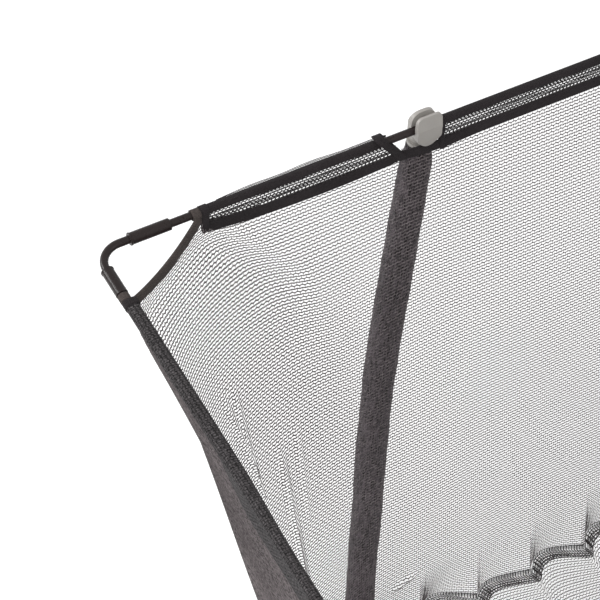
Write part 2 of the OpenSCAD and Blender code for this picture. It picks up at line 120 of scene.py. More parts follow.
class LawnNetColours(bpy.types.PropertyGroup):
    """Colours of the finishes."""

    coating: FloatVectorProperty(
        name="Coating", description="Satin coating of the rods", subtype="COLOR", size=3,
        default=(0.017, 0.0115, 0.0110), min=0, max=1)
    thread: FloatVectorProperty(
        name="Thread", description="Thread of the knitted net", subtype="COLOR", size=3,
        default=(0.142, 0.125, 0.127), min=0, max=1)
    window_thread: FloatVectorProperty(
        name="Window thread", description="Thread of the hems' windows and of the floor's seam",
        subtype="COLOR", size=3, default=(0.055, 0.050, 0.051), min=0, max=1)
    tape: FloatVectorProperty(
        name="Tape", description="Woven tape of hems, bindings and seams", subtype="COLOR", size=3,
        default=(0.026, 0.022, 0.0235), min=0, max=1)
    netting: FloatVectorProperty(
        name="Doubled net", description="Gathered net of the short rails' hems", subtype="COLOR", size=3,
        default=(0.0285, 0.0262, 0.0270), min=0, max=1)
    binding: FloatVectorProperty(
        name="Corner binding", description="Woven tape across the corners", subtype="COLOR", size=3,
        default=(0.074, 0.061, 0.057), min=0, max=1)
    clip: FloatVectorProperty(
        name="Clip", description="Moulded clips", subtype="COLOR", size=3,
        default=(0.362, 0.344, 0.322), min=0, max=1)
    padding: FloatVectorProperty(
        name="Padding", description="Cover of the padded sleeves", subtype="COLOR", size=3,
        default=(0.060, 0.050, 0.056), min=0, max=1)
    rubber: FloatVectorProperty(
        name="Rubber", description="Feet of the poles", subtype="COLOR", size=3,
        default=(0.022, 0.022, 0.023), min=0, max=1)


class LawnNetStudio(bpy.types.PropertyGroup):
    """Light and floor."""

    sky: FloatProperty(
        name="Sky", description="Strength of the even light", default=0.50, min=0.0, max=3.0)
    key: FloatProperty(
        name="Key lamp", description="Power of the large lamp above", default=85.0,
        min=0.0, max=500.0)
    fill: FloatProperty(
        name="Fill lamp", description="Power of the lamp near the view", default=22.0,
        min=0.0, max=500.0)
    rim: FloatProperty(
        name="Rim lamp", description="Power of the lamp behind the left corner", default=36.0,
        min=0.0, max=500.0)
    floor_lift: FloatProperty(
        name="Floor lift", description="Glow that keeps the seen floor white", default=0.45,
        min=0.0, max=1.0)


# ---- Meshes -------------------------------------------------------------------------------


def new_mesh(name, points, faces, uv=None, smooth=True):
    """Puts points, an array (n, 3), and faces, an array (m, 4) or (m, 3), into a new mesh object.

    uv is an array (n, 2), in metres along the piece, given to every corner of its point."""
    mesh = bpy.data.meshes.new(name)
    points = np.ascontiguousarray(points, np.float32)
    faces = np.ascontiguousarray(faces, np.int32)
    mesh.vertices.add(len(points))
    mesh.vertices.foreach_set("co", points.ravel())
    mesh.loops.add(faces.size)
    mesh.loops.foreach_set("vertex_index", faces.ravel())
    mesh.polygons.add(len(faces))
    starts = np.arange(0, faces.size, faces.shape[1], dtype=np.int32)
    mesh.polygons.foreach_set("loop_start", starts)
    mesh.polygons.foreach_set("use_smooth", np.full(len(faces), smooth, bool))
    if uv is not None:
        layer = mesh.uv_layers.new(name="UVMap")
        layer.data.foreach_set("uv", np.ascontiguousarray(uv[faces.ravel()], np.float32).ravel())
    mesh.update(calc_edges=True)
    mesh.validate()
    piece = bpy.data.objects.new(name, mesh)
    bpy.context.scene.collection.objects.link(piece)
    return piece


def finish_piece(piece, material, body, nodes=()):
    """Gives a piece its material and body, and hides the solids that it stands for."""
    piece.data.materials.append(material)
    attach(piece, body)
    if nodes:
        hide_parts(*nodes)


def thicken(piece, thickness):
    """Gives a strip of cloth its thickness, half of it to each side."""
    shell = piece.modifiers.new("thickness", "SOLIDIFY")
    shell.thickness, shell.offset = thickness, 0.0


def grid_faces(rows, columns, close_columns=False, close_rows=False):
    """Quads of a grid of points numbered row by row; the last column or row may join the first."""
    r = np.arange(rows if close_rows else rows - 1)
    c = np.arange(columns if close_columns else columns - 1)
    r, c = (a.ravel() for a in np.meshgrid(r, c, indexing="ij"))
    r2, c2 = (r + 1) % rows, (c + 1) % columns
    return np.stack([r * columns + c, r * columns + c2, r2 * columns + c2, r2 * columns + c], 1)


def path_lengths(a, b):
    """Length of a path, given by its two coordinates, up to each of its points."""
    return np.concatenate([[0], np.cumsum(np.hypot(np.diff(a), np.diff(b)))])


def strip_map(along, across):
    """Map in metres of a strip: where its rows lie along it, and its columns across it."""
    return np.stack(np.broadcast_arrays(along[:, None], across[None, :]), -1).reshape(-1, 2)


def strips_object(name, strips):
    """Joins strips, each its points (rows, columns, 3), faces and map, into one mesh."""
    first = np.cumsum([0] + [points.size // 3 for points, _, _ in strips])
    return new_mesh(
        name, np.concatenate([points.reshape(-1, 3) for points, _, _ in strips]),
        np.concatenate([faces + start for (_, faces, _), start in zip(strips, first)]),
        np.concatenate([uv for _, _, uv in strips]))


def rise(x, start, run):
    """0 up to start, 1 from start + run on, and between them 3t^2 - 2t^3 of the share t of the run."""
    t = np.clip((x - start) / run, 0, 1)
    return t * t * (3 - 2 * t)


def smooth_noise(x, y, seed):
    """A smooth field, mostly within -1 to 1: a third of the sum of five sine waves, whose directions,
    phases and rates of about one a metre are drawn from the seed."""
    rng = np.random.default_rng(seed)
    total = 0.0
    for _ in range(5):
        angle = rng.uniform(0, 2 * np.pi)
        phase = rng.uniform(0, 2 * np.pi)
        rate = rng.uniform(0.6, 1.7)
        total = total + np.sin(2 * np.pi * rate * (x * np.cos(angle) + y * np.sin(angle)) + phase)
    return total / 3


# ---- Shapes of the bag --------------------------------------------------------------------


def to_world(side, along, out, up):
    """Turns a wall's own coordinates into the frame: along its rail, outward and up, from the rod."""
    half = HALF_WIDTH if side % 2 == 0 else HALF_LENGTH
    x, y = along, half + out
    for _ in range(side):
        x, y = -y, x
    return np.stack(np.broadcast_arrays(x, y, RIM_HEIGHT + up), -1)


# The corner starts at the rim as a straight chord, is roundest ROUND_DEPTH down, and a little flatter
# again past FLAT_DEPTH. Its cut grows with that roundness, and evenly with the depth.
ROUND_DEPTH = 0.13
ROUNDEST = 0.9
FLAT_DEPTH = 0.33
FLAT_RUN = 0.2
FLATTER = 0.12
GROWN_BY_ROUNDING = 0.667
GROWN_BY_DEPTH = 0.4


def corner_roundness(depth):
    """0 where the corner is a straight chord, and 1 where it is a quarter ellipse."""
    return ROUNDEST * rise(depth, 0, ROUND_DEPTH) - FLATTER * rise(depth, FLAT_DEPTH, FLAT_RUN)


def corner_shape(depth):
    """How far the bag's corner is cut at a depth: along the long wall, and along the short one.

    The cut grows as the corner rounds off, and then evenly down to the floor."""
    share = GROWN_BY_ROUNDING * corner_roundness(depth) + GROWN_BY_DEPTH * depth / BAG_DEPTH
    grown = 1 + (CORNER_GROWTH - 1) * share
    return CUT_LONG * grown, CUT_SHORT * grown


def inward(depth):
    """How far a wall has come in at a depth, by its even lean."""
    return SLOPE * depth


def straight_halves(depth):
    """Half the straight length of a long and of a short wall, at a depth."""
    a, b = corner_shape(depth)
    return HALF_LENGTH - inward(depth) - a, HALF_WIDTH - inward(depth) - b


def straight_half(depth, long_half):
    """Half the straight length at a depth, of a long wall or of a short one."""
    return straight_halves(depth)[0 if long_half else 1]


def corner_curve(u, depth):
    """The corner in plan, from the long wall (u = 0) to the short one (u = 1), as X and Y from the
    middle: a straight chord mixed with a quarter ellipse by the roundness at that depth."""
    a, b = corner_shape(depth)
    x0, y0 = straight_halves(depth)
    angle = u * np.pi / 2
    w = corner_roundness(depth)
    x = x0 + a * ((1 - w) * u + w * np.sin(angle))
    y = y0 + b * ((1 - w) * (1 - u) + w * np.cos(angle))
    return x, y


DEPTHS = np.linspace(0, BAG_DEPTH, 90)


def corner_lengths():
    """Length of the corner's curve at each of DEPTHS, summed over 24 short chords."""
    u = np.linspace(0, 1, 25)[:, None]
    x, y = corner_curve(u, DEPTHS[None, :])
    return np.hypot(np.diff(x, axis=0), np.diff(y, axis=0)).sum(0)


CORNER_LENGTHS = corner_lengths()


def binding_sag(u):
    """Drop of the net's edge across a corner: a parabola, deepest at its middle."""
    return BINDING_SAG * 4 * u * (1 - u)


# Tension folds of a corner: start and end, each as the distance past the wall's end and the depth,
# and how far the fold stands out
FOLDS = (
    (0.108, 0.180, 0.123, 0.300, 0.0026),
    (0.122, 0.285, 0.130, 0.360, 0.0034),
    (0.083, 0.300, 0.097, 0.410, 0.0034),
    (0.096, 0.400, 0.114, 0.510, 0.0038),
    (0.056, 0.290, 0.080, 0.430, 0.0022),
    (0.018, 0.621, -0.014, 0.611, 0.0034),
    (0.100, 0.540, 0.070, 0.640, 0.0028),
)
FOLD_WIDTH = 0.0045

# How high the cloth's broad waves are, and how far a corner is drawn inward at most
WAVE_HEIGHT = 0.0035
CORNER_PULL = 0.012

# Scallops of the floor's seam: the length of one, how high they rise and by how much that differs from
# one to the next, and how far from the seam they still move the cloth
SCALLOP_LENGTH = 0.074
SCALLOP_SIZE = 0.0075
SCALLOP_SPREAD = 0.0035
SCALLOP_REACH = 0.10


def folds(past, depth):
    """Height of the folds: each is a ridge along its line, whose section is the bell e^-(away/width)^2,
    and which fades at either end over a third of its length, starting a tenth outside it."""
    total = 0 * past
    for p0, d0, p1, d1, height in FOLDS:
        along = np.array([p1 - p0, d1 - d0])
        t = ((past - p0) * along[0] + (depth - d0) * along[1]) / (along @ along)
        away = np.hypot(past - p0 - t * along[0], depth - d0 - t * along[1])
        ends = rise(t * 3, -0.3, 1) * rise((1 - t) * 3, -0.3, 1)
        total = total + height * np.exp(-((away / FOLD_WIDTH) ** 2)) * ends
    return total


def pull(past, depth):
    """How far a corner is drawn inward: from 20 mm down, most between 150 and 170 mm, a fifth less from
    370 mm on, none from 700 mm on, and along the walls less and less over 160 mm."""
    down = rise(depth, 0.02, 0.13) * (1 - 0.2 * rise(depth, 0.17, 0.2))
    down = down * (1 - rise(depth, 0.5, 0.2))
    return CORNER_PULL * down * rise(past, -0.16, 0.16)


def pucker(along):
    """Rise of the floor's seam along it: in each scallop a fast rise, 1 - e^(-phase / 0.15), less an even
    fall and a crease at its start. Its size follows a sine of the scallop's number."""
    turn = along / SCALLOP_LENGTH + 0.04
    number = np.floor(turn)
    phase = turn - number
    size = SCALLOP_SIZE + SCALLOP_SPREAD * np.sin(2.4 * number + 1.0)
    crease = np.exp(-((phase - 0.03) / 0.03) ** 2)
    return size * (2.9 * (1 - np.exp(-phase / 0.15)) - 2.9 * phase - 0.3 * crease)


def by_seam(away):
    """Share of the seam's pucker that the cloth still has at a distance from it."""
    return np.clip(1 - away / SCALLOP_REACH, 0, 1) ** 1.5


def billow(sx, sy, long_half, s, past, depth):
    """How far the cloth stands out from its even shape: broad soft waves that die out at a corner and
    at the bag's edges, less the folds and the pull."""
    hold = np.sin(np.pi * np.clip(depth / BAG_DEPTH, 0, 1)) ** 0.7
    side = sx * s if long_half else sy * s
    seed = 11 + (sx > 0) + 2 * (sy > 0) + 4 * long_half
    waves = WAVE_HEIGHT * smooth_noise(side * 1.6, depth * 1.3, seed)
    waves = waves * hold * (1 - rise(past, -0.08, 0.12))
    return waves - folds(past, depth) - pull(past, depth)


def bag_point(sx, sy, long_half, s, depth, proud=0.0):
    """A point of the bag, s metres from the middle of a wall towards a corner, at a depth: the plan
    curve at that depth, moved along its outward normal by the billow and by proud, and near the
    floor both outward and up by the seam's pucker."""
    straight = straight_half(depth, long_half)
    whole = np.interp(depth, DEPTHS, CORNER_LENGTHS)
    past = np.minimum(s - straight, whole / 2)
    share = np.clip(past / whole, 0, 0.5)
    u = share if long_half else 1 - share
    corner_x, corner_y = corner_curve(u, depth)
    wall = (HALF_WIDTH if long_half else HALF_LENGTH) - inward(depth)
    x = np.where(past <= 0, s if long_half else wall, corner_x)
    y = np.where(past <= 0, wall if long_half else s, corner_y)
    out = billow(sx, sy, long_half, s, past, depth) + proud
    scallop = pucker((sx * s) if long_half else (sy * s)) * by_seam(BAG_DEPTH - depth)
    flat = out * math.cos(WALL_LEAN) + scallop
    x = x + flat * np.sin(u * np.pi / 2)
    y = y + flat * np.cos(u * np.pi / 2)
    up = scallop - out * math.sin(WALL_LEAN)
    return np.stack([sx * x, sy * y, RIM_HEIGHT - depth + up], -1)


# ---- Knitting -----------------------------------------------------------------------------
#
# Threads are four-cornered ribbons, arrays (n, 4, 3) of a surface's own coordinates: the distance
# along it, the distance down it, and the height above it.

# Height of a standing thread, as a share of a row thread's width
STANDING_SHARE = 0.85


def flat_threads(start, end, width):
    """Ribbons that lie on the surface, from start to end, arrays (n, 2): each end is stepped half a
    width to both sides, square to the thread."""
    along = end - start
    length = np.maximum(np.linalg.norm(along, axis=1, keepdims=True), 1e-9)
    side = np.stack([-along[:, 1], along[:, 0]], 1) / length * (width / 2)
    corners = np.stack([start - side, end - side, end + side, start + side], 1)
    return np.concatenate([corners, np.zeros_like(corners[..., :1])], 2)


def standing_threads(start, end, height):
    """Ribbons that stand on edge across the surface, so that a thread also covers from the side."""
    corners = np.stack([start, end, end, start], 1)
    level = np.array([-height / 2, -height / 2, height / 2, height / 2])
    return np.concatenate([corners, np.broadcast_to(level[None, :, None], corners[..., :1].shape)], 2)


def knit(low_s, high_s, low_d, high_d, sizes, finer=1.0, standing=True, gather=None, links=1.0):
    """Threads of a knitted net on a rectangle, and the middle of each one's stitch.

    Each row is a zigzag of two flat threads a stitch with a standing one, and a thin link joins each
    stitch to the row above, at the feet of one row and at the peaks of the next. gather gives, for
    each stitch, by how much its threads are thicker, and links does so for the links alone."""
    pitch, row = sizes.stitch_pitch / finer, sizes.row_pitch / finer
    columns = np.arange(math.floor(low_s / pitch), math.ceil(high_s / pitch))
    rows = np.arange(int((high_d - low_d) / row))
    j, i = (a.ravel().astype(float) for a in np.meshgrid(rows, columns, indexing="ij"))
    s = i * pitch
    d = low_d + j * row
    wave = sizes.row_wave / finer
    a = np.stack([s, d], 1)
    b = np.stack([s + pitch / 2, d - wave], 1)
    c = np.stack([s + pitch, d], 1)
    odd = (j % 2)[:, None]
    foot = a * (1 - odd) + b * odd
    level = np.array([0, wave / 2])
    stout = np.ones_like(a[:, :1]) if gather is None else gather(s, d)[:, None]
    threads = np.concatenate([
        flat_threads(a, b, sizes.row_thread * stout), flat_threads(b, c, sizes.row_thread * stout),
        flat_threads(foot, foot - np.array([0, row]), sizes.link_thread * links * stout),
        standing_threads(a - level, c - level, sizes.row_thread * STANDING_SHARE)])
    middles = np.concatenate([np.stack([s + pitch / 2, d - row / 2], 1)] * 4)
    if not standing:
        count = 3 * len(s)
        threads, middles = threads[:count], middles[:count]
    return threads, middles


def weave_band(low_s, high_s, width, pitch, thread):
    """Threads of an open plain weave on a band: one set across it, a pitch apart, and one along it, a
    fifth closer."""
    across = np.arange(low_s, high_s, pitch)
    along = np.linspace(0, width, int(width / (pitch * 0.8)) + 1)
    s, d = (a.ravel() for a in np.meshgrid(across, along, indexing="ij"))
    rows = flat_threads(np.stack([s, d], 1), np.stack([s + pitch, d], 1), thread)
    s, d = (a.ravel() for a in np.meshgrid(across, along[:-1], indexing="ij"))
    step = along[1] - along[0]
    columns = flat_threads(np.stack([s, d], 1), np.stack([s, d + step], 1), thread)
    return np.concatenate([rows, columns])


def thread_part(threads, surface):
    """World points (4n, 3) of threads carried onto a surface, and their own map in metres."""
    s, d, h = threads.reshape(-1, 3).T
    length = np.linalg.norm(threads[:, 1] - threads[:, 0], axis=1)
    width = np.linalg.norm(threads[:, 3] - threads[:, 0], axis=1)
    none = np.zeros_like(length)
    u = np.stack([none, length, length, none], 1)
    v = np.stack([none, none, width, width], 1)
    return surface(s, d, h), np.stack([u, v], 2).reshape(-1, 2)


def threads_object(name, parts):
    """Joins the threads of several surfaces into one mesh."""
    points = np.concatenate([p for p, _ in parts])
    uv = np.concatenate([t for _, t in parts])
    faces = np.arange(len(points)).reshape(-1, 4)
    return new_mesh(name, points, faces, uv, smooth=False)


def threads_area(parts):
    """Area in square metres of the threads as they are cut, from their own maps."""
    return float(sum(uv.reshape(-1, 4, 2)[:, 2].prod(1).sum() for _, uv in parts))


def declare_threads(parts, length):
    """Works out the area that the threads fill as they are cut, and does nothing with it."""
    threads_area(parts)


# ---- Shader groups ------------------------------------------------------------------------


def link(tree, source, target):
    """Joins two sockets."""
    tree.links.new(source, target)


def set_inputs(tree, node, inputs):
    """Sets a node's sockets, each given by its name, or by _ and its number, to a value or to the
    socket of another node."""
    for key, value in inputs.items():
        socket = node.inputs[int(key[1:])] if key[0] == "_" else node.inputs[key.replace("_", " ")]
        if isinstance(value, bpy.types.NodeSocket):
            link(tree, value, socket)
        else:
            socket.default_value = value


def add(tree, kind, settings=None, **inputs):
    """Adds a shader node, with its own properties from settings and its sockets from inputs."""
    node = tree.nodes.new("ShaderNode" + kind)
    for key, value in (settings or {}).items():
        setattr(node, key, value)
    set_inputs(tree, node, inputs)
    return node


def maths(tree, operation, a, b=0.0, c=0.0):
    """Adds a Math node and returns its result."""
    return add(tree, "Math", {"operation": operation}, _0=a, _1=b, _2=c).outputs[0]


def new_group(name, inputs, outputs):
    """A shader group with the named sockets. inputs and outputs give a socket type for each name."""
    tree = bpy.data.node_groups.new(name, "ShaderNodeTree")
    for label, (kind, default) in inputs.items():
        socket = tree.interface.new_socket(name=label, in_out="INPUT", socket_type="NodeSocket" + kind)
        if default is not None:
            socket.default_value = default
    for label, kind in outputs.items():
        tree.interface.new_socket(name=label, in_out="OUTPUT", socket_type="NodeSocket" + kind)
    return tree, tree.nodes.new("NodeGroupInput").outputs, tree.nodes.new("NodeGroupOutput").inputs


def shade_group():
    """Uneven colour: a multiplier that wanders between 1 - Amount and 1 + Amount."""
    tree, given, out = new_group(
        "Uneven Shade",
        {"Vector": ("Vector", None), "Scale": ("Float", 30.0), "Amount": ("Float", 0.1)},
        {"Shade": "Float"})
    noise = add(tree, "TexNoise", Vector=given["Vector"], Scale=given["Scale"], Detail=4.0, Roughness=0.55)
    low = maths(tree, "SUBTRACT", 1.0, given["Amount"])
    high = maths(tree, "ADD", 1.0, given["Amount"])
    spread = add(tree, "MapRange", Value=noise.outputs["Fac"], From_Min=0.3, From_Max=0.7,
                 To_Min=low, To_Max=high)
    link(tree, spread.outputs["Result"], out["Shade"])
    return tree


def weave_group():
    """Plain weave on a map in metres: crossing yarns of one Pitch, each raised in turn."""
    tree, given, out = new_group(
        "Plain Weave", {"Vector": ("Vector", None), "Pitch": ("Float", 0.001)}, {"Height": "Float"})
    rate = maths(tree, "DIVIDE", 1.0, given["Pitch"])
    scaled = add(tree, "VectorMath", {"operation": "SCALE"}, _0=given["Vector"], Scale=rate)
    axes = add(tree, "SeparateXYZ", Vector=scaled.outputs["Vector"])
    x, y = axes.outputs["X"], axes.outputs["Y"]
    across = maths(tree, "ABSOLUTE", maths(tree, "SINE", maths(tree, "MULTIPLY", x, math.pi)))
    along = maths(tree, "ABSOLUTE", maths(tree, "SINE", maths(tree, "MULTIPLY", y, math.pi)))
    square = maths(tree, "ADD", maths(tree, "FLOOR", x), maths(tree, "FLOOR", y))
    turn = maths(tree, "ABSOLUTE", maths(tree, "MODULO", square, 2.0))
    over = maths(tree, "MULTIPLY", across, maths(tree, "SUBTRACT", 1.0, turn))
    under = maths(tree, "MULTIPLY", along, turn)
    link(tree, maths(tree, "ADD", over, under), out["Height"])
    return tree


def wear_group():
    """Scattered rub marks: a mask that is 1 in a few stretched specks and 0 elsewhere."""
    tree, given, out = new_group(
        "Rub Marks",
        {"Vector": ("Vector", None), "Scale": ("Float", 60.0), "Share": ("Float", 0.3)},
        {"Mask": "Float"})
    broad = add(tree, "TexNoise", Vector=given["Vector"], Scale=given["Scale"], Detail=6.0, Roughness=0.7)
    edge = maths(tree, "SUBTRACT", 0.78, maths(tree, "MULTIPLY", given["Share"], 0.3))
    mask = add(tree, "MapRange", Value=broad.outputs["Fac"], From_Min=edge,
               From_Max=maths(tree, "ADD", edge, 0.05))
    link(tree, mask.outputs["Result"], out["Mask"])
    return tree


GROUPS = {}


def group_node(tree, maker, **inputs):
    """Places a shared group, which is built the first time that it is asked for."""
    if maker not in GROUPS:
        GROUPS[maker] = maker()
    node = tree.nodes.new("ShaderNodeGroup")
    node.node_tree = GROUPS[maker]
    set_inputs(tree, node, inputs)
    return node.outputs


# ---- Materials ----------------------------------------------------------------------------


def new_material(name, roughness, **sockets):
    """A Principled material with plain sockets set; returns it with its tree and shader."""
    material = bpy.data.materials.new(name)
    material.use_nodes = True
    tree = material.node_tree
    shader = tree.nodes["Principled BSDF"]
    shader.inputs["Roughness"].default_value = roughness
    for key, value in sockets.items():
        shader.inputs[key.replace("_", " ")].default_value = value
    return material, tree, shader


def tinted(tree, colour, *shades):
    """A colour times one or more shades, for Base Color."""
    factor = shades[0]
    for extra in shades[1:]:
        factor = maths(tree, "MULTIPLY", factor, extra)
    scaled = add(tree, "VectorMath", {"operation": "SCALE"}, _0=tuple(colour), Scale=factor)
    return scaled.outputs["Vector"]


def bump(tree, shader, height, distance):
    """Raises the surface by a height times a distance in metres, in its shading."""
    node = add(tree, "Bump", Height=height, Distance=distance)
    link(tree, node.outputs["Normal"], shader.inputs["Normal"])


def coated_steel(name, colour, roughness):
    """Satin coating: faint orange peel, uneven gloss and a few rubbed specks."""
    material, tree, shader = new_material(name, roughness, Specular_IOR_Level=0.24)
    place = add(tree, "TexCoord").outputs["Object"]
    shade = group_node(tree, shade_group, Vector=place, Scale=45.0, Amount=0.14)["Shade"]
    rub = group_node(tree, wear_group, Vector=place, Scale=160.0, Share=0.25)["Mask"]
    rubbed_colour = (0.09, 0.08, 0.08, 1)
    mixed = add(tree, "Mix", {"data_type": "RGBA"}, _0=maths(tree, "MULTIPLY", rub, 0.35),
                _6=tinted(tree, colour, shade), _7=rubbed_colour)
    link(tree, mixed.outputs[2], shader.inputs["Base Color"])
    gloss = group_node(tree, shade_group, Vector=place, Scale=90.0, Amount=0.2)["Shade"]
    link(tree, maths(tree, "MULTIPLY", gloss, roughness), shader.inputs["Roughness"])
    peel = add(tree, "TexNoise", Vector=place, Scale=900.0, Detail=2.0)
    bump(tree, shader, peel.outputs["Fac"], 0.00012)
    return material


def woven_tape(name, colour, pitch=0.0011, lift=0.00025, low=0.5, high=1.2, fuzz=0.4, grain=900.0):
    """Woven tape on its own UV map in metres: plain weave of a pitch, raised by lift, with painted shade in
    its low places that makes it between low and high times as light, fuzz of a fine grain and a slightly
    faded shade."""
    material, tree, shader = new_material(
        name, 0.9, Sheen_Weight=0.04, Sheen_Roughness=0.5, Specular_IOR_Level=0.12)
    uv = add(tree, "UVMap", {"uv_map": "UVMap"}).outputs["UV"]
    weave = group_node(tree, weave_group, Vector=uv, Pitch=pitch)
    place = add(tree, "TexCoord").outputs["Object"]
    shade = group_node(tree, shade_group, Vector=place, Scale=28.0, Amount=0.16)["Shade"]
    specks = group_node(tree, shade_group, Vector=place, Scale=grain, Amount=fuzz)["Shade"]
    # Painted shade: the colour is darker where the weave is low, between its yarns, by the height that also
    # drives the bump.
    painted_shade = add(tree, "MapRange", Value=weave["Height"], From_Min=0.0, From_Max=0.9, To_Min=low, To_Max=high)
    link(tree, tinted(tree, colour, shade, specks, painted_shade.outputs["Result"]), shader.inputs["Base Color"])
    bump(tree, shader, weave["Height"], lift)
    return material


def net_thread(name, colour):
    """Polyester thread: two-ply twist along each thread's own map, painted as shade in its grooves, and a
    soft sheen.
    """
    material, tree, shader = new_material(
        name, 0.7, Sheen_Weight=0.05, Sheen_Roughness=0.4, Specular_IOR_Level=0.2)
    uv = add(tree, "UVMap", {"uv_map": "UVMap"}).outputs["UV"]
    axes = add(tree, "SeparateXYZ", Vector=uv)
    # Painted shade: the colour is darker in the grooves of the two-ply twist.
    slant = maths(tree, "ADD", axes.outputs["X"], maths(tree, "MULTIPLY", axes.outputs["Y"], 1.6))
    twist = maths(tree, "ABSOLUTE", maths(tree, "SINE", maths(tree, "MULTIPLY", slant, 2600.0)))
    painted_shade = add(tree, "MapRange", Value=twist, To_Min=0.8, To_Max=1.1)
    place = add(tree, "TexCoord").outputs["Object"]
    shade = group_node(tree, shade_group, Vector=place, Scale=5.0, Amount=0.2)["Shade"]
    fleck = group_node(tree, shade_group, Vector=place, Scale=270.0, Amount=0.75)["Shade"]
    link(tree, tinted(tree, colour, shade, fleck, painted_shade.outputs["Result"]), shader.inputs["Base Color"])
    return material


def padded_cover(name, colour):
    """Brushed cover of the padding: fine ribs along the sleeve with painted shade in their hollows, pile and
    a faint dusty fade.
    """
    material, tree, shader = new_material(
        name, 0.95, Sheen_Weight=0.25, Sheen_Roughness=0.3, Specular_IOR_Level=0.08)
    uv = add(tree, "UVMap", {"uv_map": "UVMap"}).outputs["UV"]
    stretched = add(tree, "Mapping", Vector=uv, Scale=(1.0, 0.06, 1.0))
    ribs = add(tree, "TexNoise", Vector=stretched.outputs["Vector"], Scale=650.0, Detail=3.0)
    # Painted shade: the colour is darker in the hollows between the ribs, by the noise that also drives the
    # bump.
    painted_shade = add(tree, "MapRange", Value=ribs.outputs["Fac"], From_Min=0.35, From_Max=0.65,
               To_Min=0.1, To_Max=2.3)
    place = add(tree, "TexCoord").outputs["Object"]
    shade = group_node(tree, shade_group, Vector=place, Scale=14.0, Amount=0.22)["Shade"]
    weave = group_node(tree, weave_group, Vector=uv, Pitch=0.0014)
    link(tree, tinted(tree, colour, shade, painted_shade.outputs["Result"]), shader.inputs["Base Color"])
    height = maths(tree, "ADD", ribs.outputs["Fac"], maths(tree, "MULTIPLY", weave["Height"], 0.3))
    bump(tree, shader, height, 0.0005)
    return material


def moulded_plastic(name, colour):
    """Moulded plastic: fine mould grain, flow marks and slightly worn shine."""
    roughness = 0.42
    material, tree, shader = new_material(name, roughness, Specular_IOR_Level=0.45)
    place = add(tree, "TexCoord").outputs["Object"]
    shade = group_node(tree, shade_group, Vector=place, Scale=35.0, Amount=0.05)["Shade"]
    rub = group_node(tree, wear_group, Vector=place, Scale=240.0, Share=0.35)["Mask"]
    lighter = add(tree, "MapRange", Value=rub, To_Min=1.0, To_Max=1.12)
    link(tree, tinted(tree, colour, shade, lighter.outputs["Result"]), shader.inputs["Base Color"])
    gloss = group_node(tree, shade_group, Vector=place, Scale=70.0, Amount=0.15)["Shade"]
    link(tree, maths(tree, "MULTIPLY", gloss, roughness), shader.inputs["Roughness"])
    grain = add(tree, "TexNoise", Vector=place, Scale=1600.0, Detail=2.0)
    bump(tree, shader, grain.outputs["Fac"], 0.00005)
    return material


def matt_rubber(name, colour):
    """Matt rubber: dusty low patches and a fine sandy grain."""
    material, tree, shader = new_material(name, 0.85, Specular_IOR_Level=0.3)
    place = add(tree, "TexCoord").outputs["Object"]
    shade = group_node(tree, shade_group, Vector=place, Scale=50.0, Amount=0.25)["Shade"]
    link(tree, tinted(tree, colour, shade), shader.inputs["Base Color"])
    grain = add(tree, "TexNoise", Vector=place, Scale=1200.0, Detail=3.0)
    bump(tree, shader, grain.outputs["Fac"], 0.0001)
    return material


MATERIALS = {}


def material_for(kind):
    """The finish of that kind, made the first time that it is asked for."""
    if kind not in MATERIALS:
        colours = bpy.context.scene.lawn_net_colours
        makers = {
            "coating": lambda: coated_steel("Rod coating", colours.coating, 0.3),
            "ferrule": lambda: coated_steel("Ferrule coating", colours.coating, 0.27),
            "tube": lambda: coated_steel("Tube powder coat", colours.coating, 0.5),
            "thread": lambda: net_thread("Net thread", colours.thread),
            "tape": lambda: woven_tape("Hem tape", colours.tape),
            # The doubled net gets strong painted shade: its colour is black in the weave's low places,
            # between its threads.
            "netting": lambda: woven_tape("Doubled net", colours.netting, pitch=0.0026, lift=0.0006,
                                          low=0.0, high=2.4, fuzz=1.0, grain=560.0),
            "binding": lambda: woven_tape("Corner binding tape", colours.binding),
            "seam": lambda: net_thread("Seam thread", colours.window_thread),
            "window": lambda: net_thread("Window thread", colours.window_thread),
            "clip": lambda: moulded_plastic("Clip plastic", colours.clip),
            "padding": lambda: padded_cover("Sleeve cover", colours.padding),
            "rubber": lambda: matt_rubber("Foot rubber", colours.rubber),
        }
        MATERIALS[kind] = makers[kind]()
    return MATERIALS[kind]


def dress_node(name, kind):
    """Gives a solid that stays in view its finish."""
    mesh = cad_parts[name].data
    mesh.materials.clear()
    mesh.materials.append(material_for(kind))


# ---- Pieces -------------------------------------------------------------------------------


class LAWNNET_OT_rim(bpy.types.Operator):
    """Finish the rods, elbows and ferrules"""

    bl_idname = "lawn_net.rim"
    bl_label = "Rim"

    def execute(self, context):
        for name in ("rod_back", "rod_front", "rod_left", "rod_right"):
            dress_node(name, "coating")
        for corner in CORNERS:
            dress_node("elbow_" + corner, "coating")
            dress_node("ferrules_" + corner, "ferrule")
        return {"FINISHED"}


# How far the net reaches up behind a hem's foot, how far below the edge of a corner it starts, and how
# far its rows rise there
HEM_LAP = 0.0045
BINDING_LAP = 0.006
CROWDING = 0.015


def gathered_depth(past, depth):
    """Depth of a row near a corner: it rises towards the binding, where the rows crowd, and sinks back
    to its even depth further down."""
    crowd = CROWDING * rise(past, -0.02, 0.06) * rise(depth, 0, 0.045)
    return depth - crowd * (1 - rise(depth, 0.05, 0.35))


